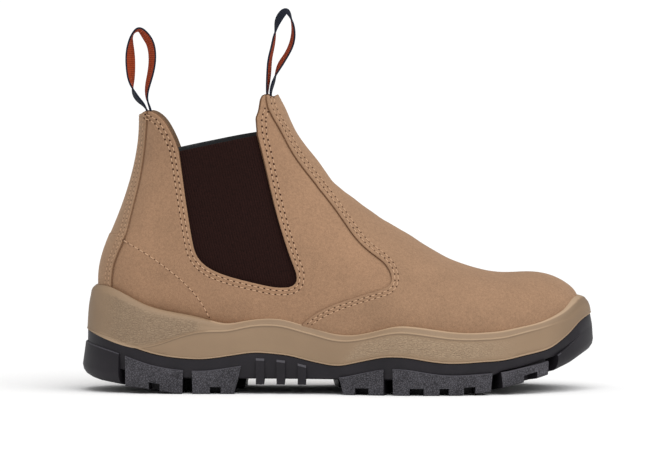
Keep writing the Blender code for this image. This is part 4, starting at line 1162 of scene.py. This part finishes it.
def make_tread():
    """All lugs, blocks and bars, as one mesh of separate bodies."""
    bm = bmesh.new()
    for back, front, *leans, inner_back, inner_front in SIDE_LUGS:
        for side, start, end in ((-1, back, front), (1, back + inner_back, front + inner_front)):
            add_lug(bm, stretch(place_x(start), place_x(end), side), SIDE_ROUNDING, LUG_WIDTH, leans)
    add_lug(bm, wrap(HEEL_TIP, float(place_x(HEEL_WRAP))), HEEL_ROUNDING, 0.9 * LUG_WIDTH)
    add_lug(bm, wrap(TOE_TIP, float(place_x(TOE_WRAP))), TOE_ROUNDING, 0.8 * LUG_WIDTH)
    for block in BLOCKS:
        add_block(bm, *block)
    for along in WAIST_BARS:
        add_waist_bar(bm, along)
    turned_out(bm)
    return object_from(bm, "tread", [], smooth=False)


def make_notches():
    """Notches in the lower outer edge of the side lugs, as one mesh of separate cutters."""
    bm = bmesh.new()
    for start, end in NOTCHES:
        for side in (-1, 1):
            sections = []
            for x in (float(place_x(start)), float(place_x(end))):
                place, normal = edge_at(x, side)
                top = float(ground(x)) + NOTCH_HEIGHT
                profile = ((NOTCH_OUT, BELOW), (NOTCH_OUT, top), (-NOTCH_REACH, top), (-NOTCH_REACH, BELOW))
                sections.append([(*(place + normal * reach), z) for reach, z in profile])
            add_loft(bm, sections)
    turned_out(bm)
    return object_from(bm, "notches", [], smooth=False)


def rubber_index(polygon):
    """The rubber of one face of the outsole: 0 plain, 1 grained side of a lug, 2 painted highlight on the
    up-facing edge of its top.
    """
    x, y, z = polygon.center
    place, normal = edge_at(x, -1 if y < 0 else 1)
    outset = float((np.array([x, y]) - place) @ normal)
    upward, outward = polygon.normal.z, float(normal @ polygon.normal.xy)
    # Up-facing faces along the top edge of a lug get a painted highlight
    if outset > 0 and 0.3 < upward < 0.9 and z > lug_top(x) - LUG_CHAMFER:
        return 2
    on_side = outward > 0.5 and abs(upward) < 0.6 and outset > GRAIN_MARGIN
    grained = any(start < along_of(x) < end for start, end in GRAIN)
    return int(on_side and z < lug_top(x) - GRAIN_MARGIN and grained)


def make_outsole(materials):
    """Rubber unit: a tray for the midsole on a plate, with the tread under it."""
    rings = [
        sole_ring(lambda x: -tray_wall(x) - PLUG_INSET + GAP, plate_top),
        sole_ring(lambda x: -tray_wall(x) + GAP, lambda x: joint(x) - HAIR),
        sole_ring(constant(-JOINT_SETBACK), lambda x: joint(x) - HAIR),
        sole_ring(constant(-TRAY_INSET), lambda x: joint(x) - HAIR - TRAY_LIP),
        sole_ring(toe_bulge, lambda x: 0.5 * (joint(x) + plate_bottom(x))),
        sole_ring(constant(-PLATE_INSET), lambda x: plate_bottom(x) + PLATE_LIP),
        sole_ring(constant(-UNDERSIDE_INSET), plate_bottom),
    ]
    outsole = sole_solid("outsole_unit", rings)
    boolean(outsole, make_tread(), "UNION", overlapping=True)
    boolean(outsole, make_notches(), "DIFFERENCE")
    give_materials(outsole, materials)
    mesh = outsole.data
    for polygon in mesh.polygons:
        polygon.material_index = rubber_index(polygon)
    rounding = outsole.modifiers.new("rounded edges", "BEVEL")
    rounding.width = RUBBER_ROUNDING
    rounding.segments = 2
    rounding.limit_method = "ANGLE"
    rounding.angle_limit = math.radians(40)
    rounding.harden_normals = False
    mesh.shade_smooth()
    mesh.set_sharp_from_angle(angle=math.radians(32))
    return outsole


def webbing_frame(table, foot_x, foot_z, reach, height, count):
    """Centres, directions across and directions through the webbing along a loop."""
    line = line_spline([(a * reach, b * height, c) for a, b, c in table], count)
    tangent = unit(np.gradient(line[:, :2], axis=0))
    turn = np.radians(line[:, 2])
    flat = np.zeros(count)
    centres = np.stack([foot_x + line[:, 0], flat - MIDDLE_Y, foot_z + line[:, 1]], axis=1)
    across = np.stack([-tangent[:, 1] * np.sin(turn), np.cos(turn), tangent[:, 0] * np.sin(turn)], axis=1)
    through = np.stack([-tangent[:, 1] * np.cos(turn), -np.sin(turn), tangent[:, 0] * np.cos(turn)], axis=1)
    return centres, across, through


def make_pull_loop(name, table, foot_x, foot_z, reach, height, materials):
    """A woven webbing loop: its outside and selvedges dark, its inside bright between them."""
    count = LOOP_STEPS * (len(table) - 1) + 1
    centres, across, through = webbing_frame(table, foot_x, foot_z, reach, height, count)
    section = [*WEBBING_SECTION, *((u, -v) for u, v in WEBBING_SECTION[::-1])]
    run = run_along(centres)
    bm = bmesh.new()
    uv = bm.loops.layers.uv.new("webbing")
    rings = []
    for centre, wide, deep in zip(centres, across, through):
        rings.append([bm.verts.new(centre + wide * u * WEBBING_WIDTH / 2 + deep * v * WEBBING / 2)
                      for u, v in section])
    size = len(section)
    for j in range(count - 1):
        for i in range(size):
            k = (i + 1) % size
            face = bm.faces.new((rings[j][i], rings[j][k], rings[j + 1][k], rings[j + 1][i]))
            places = ((j, i), (j, k), (j + 1, k), (j + 1, i))
            for loop, (row, column) in zip(face.loops, places):
                loop[uv].uv = (run[row], section[column][0] * WEBBING_WIDTH / 2)
            middle = (section[i][0] + section[k][0]) / 2
            inner_face = section[i][1] < 0 and section[k][1] < 0
            face.material_index = 0 if inner_face and abs(middle) < SELVEDGE else 1
    bm.faces.new(rings[0][::-1])
    bm.faces.new(rings[-1])
    turned_out(bm)
    return object_from(bm, name, materials)


def wall_inside(front, height):
    """x of the leather's inner face in the middle of the shaft, at a height, at front or back."""
    points, normals = last_grid(*WALL_GRID)
    column = WALL_GRID[1] // 2 if front else 0
    line = points[:, column] - normals[:, column] * (OVERLAY + LEATHER)
    shaft = line[line[:, 2] > COLLAR / 2]
    order = np.argsort(shaft[:, 2])
    return float(np.interp(height, shaft[order, 2], shaft[order, 0]))


def stitch_places(line, pitch, tree, side):
    """Points and normals on the leather at even steps along a side-view line."""
    run = run_along(line)
    count = max(2, int(run[-1] / pitch) + 1)
    t = np.arange(count) * pitch
    found = []
    for x, z in zip(np.interp(t, run, line[:, 0]), np.interp(t, run, line[:, 1])):
        hit, normal, _, _ = tree.ray_cast(Vector((x, side * RAY_START, z)), Vector((0, -side, 0)))
        if hit is None or z < rim(x) + ROW_CLEARANCE or abs(normal.y) < LEAST_FACING:
            found.append(None)
        else:
            found.append((hit, normal))
    return found


def add_stitch(bm, start, end, thread):
    """One visible length of thread between two needle holes."""
    (a, normal_a), (b, normal_b) = start, end
    along = b - a
    length = along.length
    along.normalize()
    sections = []
    for share, lift, size in STITCH:
        normal = normal_a.lerp(normal_b, share).normalized()
        wide = normal.cross(along).normalized() * STITCH_FLATNESS
        centre = a + along * (share * length) + normal * (lift * thread)
        turns = [math.tau * i / STITCH_SIDES for i in range(STITCH_SIDES)]
        sections.append([centre + (wide * math.cos(turn) + normal * math.sin(turn)) * size * thread
                         for turn in turns])
    add_loft(bm, sections)


def add_hole(bm, place, size):
    """A flat dark disc over one needle hole: painted shade of the hole."""
    point, normal = place
    side = normal.orthogonal().normalized()
    up = normal.cross(side)
    edge = []
    for i in range(HOLE_SIDES):
        turn = math.tau * i / HOLE_SIDES
        out = side * math.cos(turn) + up * math.sin(turn)
        edge.append(bm.verts.new(point + out * size + normal * HAIR))
    bm.faces.new(edge).material_index = 1


def make_stitches(skin, materials):
    """All rows of stitches and their needle holes, the holes as discs of painted shade, as one mesh."""
    tree = BVHTree.FromObject(skin, bpy.context.evaluated_depsgraph_get())
    vamp, strip = side_line(VAMP_EDGE, 300), side_line(BACKSTAY_EDGE, 200)
    collar = np.concatenate([side_line(REAR_COLLAR[1:], 40), side_line(GORE_EDGE, 220),
                             side_line(FRONT_COLLAR[:2], 8)])
    rows = [(offset_line(vamp, row), PITCH, 1.0, 0.85 * HOLE) for row in SEAM_ROWS]
    rows += [(offset_line(strip, -row), 0.75 * PITCH, 0.8, 0.4 * HOLE) for row in STRIP_ROWS]
    rows += [(offset_line(collar, -row), PITCH, 1.0, HOLE) for row in EDGE_ROWS]
    rows.append((side_line(COUNTER_ROW, 120), PITCH, 1.0, 0.6 * HOLE))
    bm = bmesh.new()
    for line, pitch, size, hole in rows:
        for side in (-1, 1):
            places = stitch_places(line, pitch, tree, side)
            for start, end in zip(places, places[1:]):
                if start and end and (end[0] - start[0]).length < 2 * pitch:
                    add_stitch(bm, start, end, size * THREAD)
            for place in places:
                if place:
                    add_hole(bm, place, hole)
    bmesh.ops.recalc_face_normals(bm, faces=[face for face in bm.faces if face.material_index == 0])
    return object_from(bm, "upper_stitches", materials)


def add_node(tree, kind, inputs, **settings):
    """A shader node with its settings and inputs: numbers, colours or other nodes' outputs."""
    node = tree.nodes.new(f"ShaderNode{kind}")
    for name, value in settings.items():
        setattr(node, name, value)
    for name, value in inputs.items():
        if isinstance(value, bpy.types.NodeSocket):
            tree.links.new(value, node.inputs[name])
        else:
            node.inputs[name].default_value = value
    return node


def linear(red, green, blue):
    """A colour given as it looks on screen, 0 to 255, as Blender's own linear values."""
    shares = [value / 255 for value in (red, green, blue)]
    return tuple(s / 12.92 if s <= 0.04045 else ((s + 0.055) / 1.055) ** 2.4 for s in shares) + (1.0,)


def tinted(base, factor):
    """The on-screen colour base made darker or lighter."""
    return linear(*[min(255, value * factor) for value in base])


def new_material(name, roughness, specular):
    """A material with its node tree, its shader and the object's own coordinates."""
    material = bpy.data.materials.new(name)
    material.use_nodes = True
    tree = material.node_tree
    shader = tree.nodes["Principled BSDF"]
    shader.inputs["Roughness"].default_value = roughness
    shader.inputs["Specular IOR Level"].default_value = specular
    return material, tree, shader, add_node(tree, "TexCoord", {}).outputs["Object"]


def noise(tree, vector, scale, detail, roughness, distortion=0.0):
    inputs = {"Vector": vector, "Scale": scale, "Detail": detail, "Roughness": roughness,
              "Distortion": distortion}
    return add_node(tree, "TexNoise", inputs).outputs["Fac"]


def cell_edges(tree, vector, scale):
    """Distance to the edges of random cells."""
    inputs = {"Vector": vector, "Scale": scale, "Randomness": 1.0}
    return add_node(tree, "TexVoronoi", inputs, feature="DISTANCE_TO_EDGE").outputs["Distance"]


def ribs(tree, vector, direction, inputs):
    """Soft parallel ribs that follow each other along one direction."""
    inputs = {"Vector": vector, **inputs}
    return add_node(tree, "TexWave", inputs, bands_direction=direction).outputs["Fac"]


def mix(tree, factor, first, second):
    inputs = {"Fac": factor, "Color1": first, "Color2": second}
    return add_node(tree, "MixRGB", inputs).outputs["Color"]


def ramp(tree, value, low, high):
    """value as a share of the way from low to high."""
    inputs = {"Value": value, "From Min": low, "From Max": high}
    return add_node(tree, "MapRange", inputs).outputs["Result"]


def maths(tree, operation, first, second):
    return add_node(tree, "Math", {0: first, 1: second}, operation=operation).outputs["Value"]


def total(tree, *parts):
    """The sum of values, each given with its weight."""
    weighted = [maths(tree, "MULTIPLY", value, weight) for value, weight in parts]
    found = weighted[0]
    for value in weighted[1:]:
        found = maths(tree, "ADD", found, value)
    return found


def toned(tree, shader, value, low, high, dark, light):
    """Colours the surface from dark to light as value runs from low to high."""
    colour = mix(tree, ramp(tree, value, low, high), dark, light)
    tree.links.new(colour, shader.inputs["Base Color"])


def bumped(tree, shader, *layers):
    """Bump from layers of height, strength and distance in metres, one over the other."""
    normal = None
    for height, strength, distance in layers:
        inputs = {"Height": height, "Strength": strength, "Distance": distance}
        if normal is not None:
            inputs["Normal"] = normal
        normal = add_node(tree, "Bump", inputs).outputs["Normal"]
    tree.links.new(normal, shader.inputs["Normal"])


def nubuck(name, base):
    """Brushed leather: a soft nap, cloudy tone and fine pores."""
    material, tree, shader, place = new_material(name, 0.92, 0.18)
    shader.inputs["Sheen Weight"].default_value = 0.25
    shader.inputs["Sheen Roughness"].default_value = 0.45
    shader.inputs["Sheen Tint"].default_value = linear(230, 205, 180)
    clouds = noise(tree, place, 38.0, 4.0, 0.6)
    mottle = noise(tree, place, 640.0, 4.0, 0.75)
    nap = noise(tree, place, 1900.0, 3.0, 0.7)
    tone = total(tree, (clouds, 0.20), (mottle, 0.38), (nap, 0.42))
    toned(tree, shader, tone, 0.34, 0.66, tinted(base, 0.84), tinted(base, 1.12))
    bumped(tree, shader, (mottle, 0.5, 0.00024), (nap, 0.6, 0.00016))
    return material


def plain_cloth(name, base, scale):
    """A woven or felted cloth with a fine even texture."""
    material, tree, shader, place = new_material(name, 0.9, 0.15)
    fine = noise(tree, place, scale, 3.0, 0.7)
    toned(tree, shader, fine, 0.3, 0.7, tinted(base, 0.85), tinted(base, 1.1))
    bumped(tree, shader, (fine, 0.5, 0.0002))
    return material


def elastic(name):
    """Ribbed elastic: fine ribs up the panel, with flecks of lighter yarn."""
    material, tree, shader, place = new_material(name, 0.88, 0.1)
    split = add_node(tree, "SeparateXYZ", {"Vector": place})
    lean = maths(tree, "MULTIPLY", split.outputs["Z"], 0.24)
    leaned = maths(tree, "ADD", split.outputs["X"], lean)
    flat = add_node(tree, "CombineXYZ", {"X": leaned, "Y": split.outputs["Z"], "Z": 0.0}).outputs["Vector"]
    warp = ribs(tree, flat, "X", {"Scale": 210.0, "Distortion": 0.4, "Detail": 1.0, "Detail Scale": 3.0})
    weft = ribs(tree, flat, "Y", {"Scale": 330.0, "Distortion": 0.5})
    fleck = noise(tree, place, 1500.0, 2.0, 0.7)
    weft_share = maths(tree, "ADD", maths(tree, "MULTIPLY", weft, 0.4), 0.6)
    yarn = maths(tree, "MULTIPLY", warp, weft_share)
    tone = total(tree, (yarn, 0.25), (fleck, 0.9))
    toned(tree, shader, tone, 0.25, 0.95, linear(15, 6, 5), linear(50, 27, 23))
    bumped(tree, shader, (yarn, 0.5, 0.0002), (fleck, 0.4, 0.00015))
    return material


def moulded_foam(name):
    """Matte moulded polyurethane, grained, with painted highlights and painted shade where the attributes
    say so.
    """
    material, tree, shader, place = new_material(name, 0.62, 0.35)
    amount = add_node(tree, "Attribute", {}, attribute_name="grain").outputs["Fac"]
    # The shade attribute holds painted highlights above 0 and painted shade below 0
    shade = add_node(tree, "Attribute", {}, attribute_name="shade").outputs["Fac"]
    turn = {"Vector": place, "Rotation": (0.0, math.radians(-38), 0.0), "Scale": (0.34, 1.0, 1.0)}
    streaked = add_node(tree, "Mapping", turn).outputs["Vector"]
    creases = ramp(tree, cell_edges(tree, streaked, 1150.0), 0.0, 0.16)
    rumple = noise(tree, streaked, 760.0, 4.0, 0.6, 0.6)
    grain = total(tree, (creases, 0.5), (rumple, 0.9))
    clouds = noise(tree, place, 30.0, 3.0, 0.5)
    fine = noise(tree, place, 2600.0, 2.0, 0.6)
    smooth = mix(tree, ramp(tree, clouds, 0.3, 0.7), linear(145, 121, 96), linear(153, 128, 102))
    dusty = mix(tree, ramp(tree, grain, 0.35, 1.15), linear(136, 113, 90), linear(168, 144, 117))
    # Painted highlights mix in a light colour and painted shade a dark one
    colour = mix(tree, ramp(tree, shade, 0.0, 1.0), mix(tree, amount, smooth, dusty), linear(206, 178, 148))
    toned(tree, shader, shade, 0.0, -1.0, colour, linear(92, 76, 60))
    height = maths(tree, "MULTIPLY", grain, amount)
    bumped(tree, shader, (height, 0.8, 0.00045), (fine, 0.15, 0.00008))
    return material


def rubber(name, dark, light):
    """Smooth black sole rubber."""
    material, tree, shader, place = new_material(name, 0.55, 0.25)
    fine = noise(tree, place, 1500.0, 3.0, 0.6)
    clouds = noise(tree, place, 60.0, 3.0, 0.5)
    toned(tree, shader, clouds, 0.3, 0.7, linear(*dark), linear(*light))
    bumped(tree, shader, (fine, 0.3, 0.00012))
    return material


def grained_rubber(name):
    """The same with the moulded grain of the lugs."""
    material, tree, shader, place = new_material(name, 0.55, 0.25)
    creases = ramp(tree, cell_edges(tree, place, 820.0), 0.0, 0.20)
    rumple = noise(tree, place, 700.0, 4.0, 0.7, 0.8)
    patches = noise(tree, place, 90.0, 2.0, 0.5)
    grain = total(tree, (creases, 0.45), (rumple, 0.9))
    tone = maths(tree, "ADD", grain, maths(tree, "MULTIPLY", patches, 0.5))
    toned(tree, shader, tone, 0.65, 1.35, linear(32, 31, 35), linear(90, 88, 94))
    bumped(tree, shader, (grain, 0.9, 0.0004))
    return material


def webbing(name, dark, light):
    """Woven tape: ribs across its run, from its own coordinates along and across."""
    material, tree, shader, place = new_material(name, 0.8, 0.12)
    run = add_node(tree, "UVMap", {}, uv_map="webbing").outputs["UV"]
    across = ribs(tree, run, "X", {"Scale": 260.0, "Distortion": 0.3})
    yarns = ribs(tree, run, "Y", {"Scale": 330.0, "Distortion": 0.3})
    weave = maths(tree, "MULTIPLY", across, yarns)
    wear = noise(tree, place, 500.0, 3.0, 0.6)
    tone = total(tree, (weave, 0.7), (wear, 0.4))
    toned(tree, shader, tone, 0.1, 0.9, linear(*dark), linear(*light))
    bumped(tree, shader, (weave, 0.8, 0.00025))
    return material


def thread(name, base):
    """Twisted polyester thread."""
    material, tree, shader, place = new_material(name, 0.7, 0.3)
    twist = noise(tree, place, 3000.0, 2.0, 0.6)
    toned(tree, shader, twist, 0.3, 0.7, tinted(base, 0.88), linear(*base))
    bumped(tree, shader, (twist, 0.5, 0.0001))
    return material


def make_floor():
    bm = bmesh.new()
    bmesh.ops.create_grid(bm, x_segments=1, y_segments=1, size=60.0)
    material, _, shader, _ = new_material("floor_white", 0.6, 0.0)
    shader.inputs["Base Color"].default_value = (0.95, 0.95, 0.95, 1.0)
    floor = object_from(bm, "floor", [material], smooth=False)


def add_light(name, towards, softness, strength):
    """A large soft light a long way off in the direction towards. softness is its width in degrees."""
    light = bpy.data.lights.new(name, "SUN")
    light.angle = math.radians(softness)
    light.energy = strength
    obj = bpy.data.objects.new(name, light)
    obj.location = towards
    obj.rotation_euler = Vector(towards).to_track_quat("Z", "Y").to_euler()
    bpy.context.scene.collection.objects.link(obj)


def make_lights():
    world = bpy.data.worlds.new("studio")
    world.use_nodes = True
    world.node_tree.nodes["Background"].inputs["Color"].default_value = (1.0, 1.0, 1.0, 1.0)
    world.node_tree.nodes["Background"].inputs["Strength"].default_value = 0.42
    bpy.context.scene.world = world
    bpy.context.scene.view_settings.view_transform = "Standard"
    add_light("key", (0.30, -0.45, 1.00), 70.0, 2.5)


def make_camera():
    aim = Vector((CAMERA_X, 0.0, AIM_HEIGHT))
    place = Vector((CAMERA_X, -CAMERA_DISTANCE, CAMERA_HEIGHT))
    camera = bpy.data.cameras.new("photo_view")
    camera.sensor_width = SENSOR
    camera.lens = SENSOR * (aim - place).length / VIEW_WIDTH
    camera.clip_end = 200.0
    obj = bpy.data.objects.new("photo_view", camera)
    obj.location = place
    obj.rotation_euler = (aim - place).to_track_quat("-Z", "Y").to_euler()
    bpy.context.scene.collection.objects.link(obj)
    bpy.context.scene.camera = obj


def dress(obj, slot, *nodes):
    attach(obj, "root")
    if nodes:
        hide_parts(*nodes)


def make_upper():
    # The two edge colours are the raw cut edges' darker colour and also painted shade of their steps
    leathers = [nubuck("quarter_leather", (158, 124, 97)), nubuck("vamp_leather", (154, 122, 96)),
                nubuck("strip_leather", (156, 125, 99)), plain_cloth("leather_cut_edge_and_shade", (118, 87, 64), 2200.0),
                plain_cloth("strip_cut_edge_and_shade", (126, 96, 73), 2200.0)]
    skin = make_skin(leathers)
    dress(skin, "upper_leather", "upper")
    dress(make_lining(plain_cloth("lining", (140, 114, 91), 1400.0)), "upper_leather")
    # The needle holes are discs of painted shade
    sewing = [thread("thread", (206, 168, 136)), plain_cloth("needle_hole_shade", (62, 37, 26), 2000.0)]
    dress(make_stitches(skin, sewing), "upper_leather")


def make_sole():
    dress(make_midsole(moulded_foam("midsole_polyurethane")), "midsole_foam", "midsole")
    # The third rubber is a painted highlight for the lugs' up-facing top edges
    rubbers = [rubber("rubber_plain", (29, 27, 31), (37, 34, 39)), grained_rubber("rubber_grained"),
               rubber("rubber_highlight", (62, 60, 66), (76, 74, 80))]
    dress(make_outsole(rubbers), "outsole_rubber", "outsole")


def make_gores():
    materials = [elastic("elastic"), plain_cloth("elastic_inside", (58, 60, 62), 1600.0),
                 plain_cloth("elastic_edge", (20, 20, 22), 1600.0)]
    dress(make_gore("gore_outer_panel", -1, materials), "gore_elastic", "gore_outer")
    dress(make_gore("gore_inner_panel", 1, materials), "gore_elastic", "gore_inner")


def make_loops():
    materials = [webbing("webbing_orange", (132, 46, 22), (208, 96, 50)),
                 webbing("webbing_navy", (17, 20, 31), (38, 44, 60))]
    rear_z, front_z = REAR_COLLAR[1][1] * COLLAR, FRONT_COLLAR[3][1] * COLLAR
    rear_x = wall_inside(False, rear_z) + WEBBING / 2 + 3 * GAP
    front_x = wall_inside(True, front_z) - WEBBING / 2 - 6 * GAP
    rear = make_pull_loop("pull_loop_rear_webbing", REAR_LOOP, rear_x, rear_z, REAR_LOOP_SPREAD,
                          REAR_LOOP_HEIGHT, materials)
    front = make_pull_loop("pull_loop_front_webbing", FRONT_LOOP, front_x, front_z, FRONT_LOOP_SPREAD,
                           FRONT_LOOP_HEIGHT, materials)
    dress(rear, "loop_webbing", "pull_loop_rear")
    dress(front, "loop_webbing", "pull_loop_front")


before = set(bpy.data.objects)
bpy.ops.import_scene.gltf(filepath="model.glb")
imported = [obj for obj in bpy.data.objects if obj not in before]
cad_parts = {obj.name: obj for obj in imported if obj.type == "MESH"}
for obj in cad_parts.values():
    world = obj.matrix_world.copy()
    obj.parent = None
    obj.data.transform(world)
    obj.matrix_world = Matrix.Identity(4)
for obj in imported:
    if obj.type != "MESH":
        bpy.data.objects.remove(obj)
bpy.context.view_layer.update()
make_upper()
make_sole()
make_gores()
make_loops()
give_materials(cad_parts["insole"], [plain_cloth("insole_fabric", (84, 80, 76), 1200.0)])
make_floor()
make_lights()
make_camera()
bpy.context.view_layer.update()
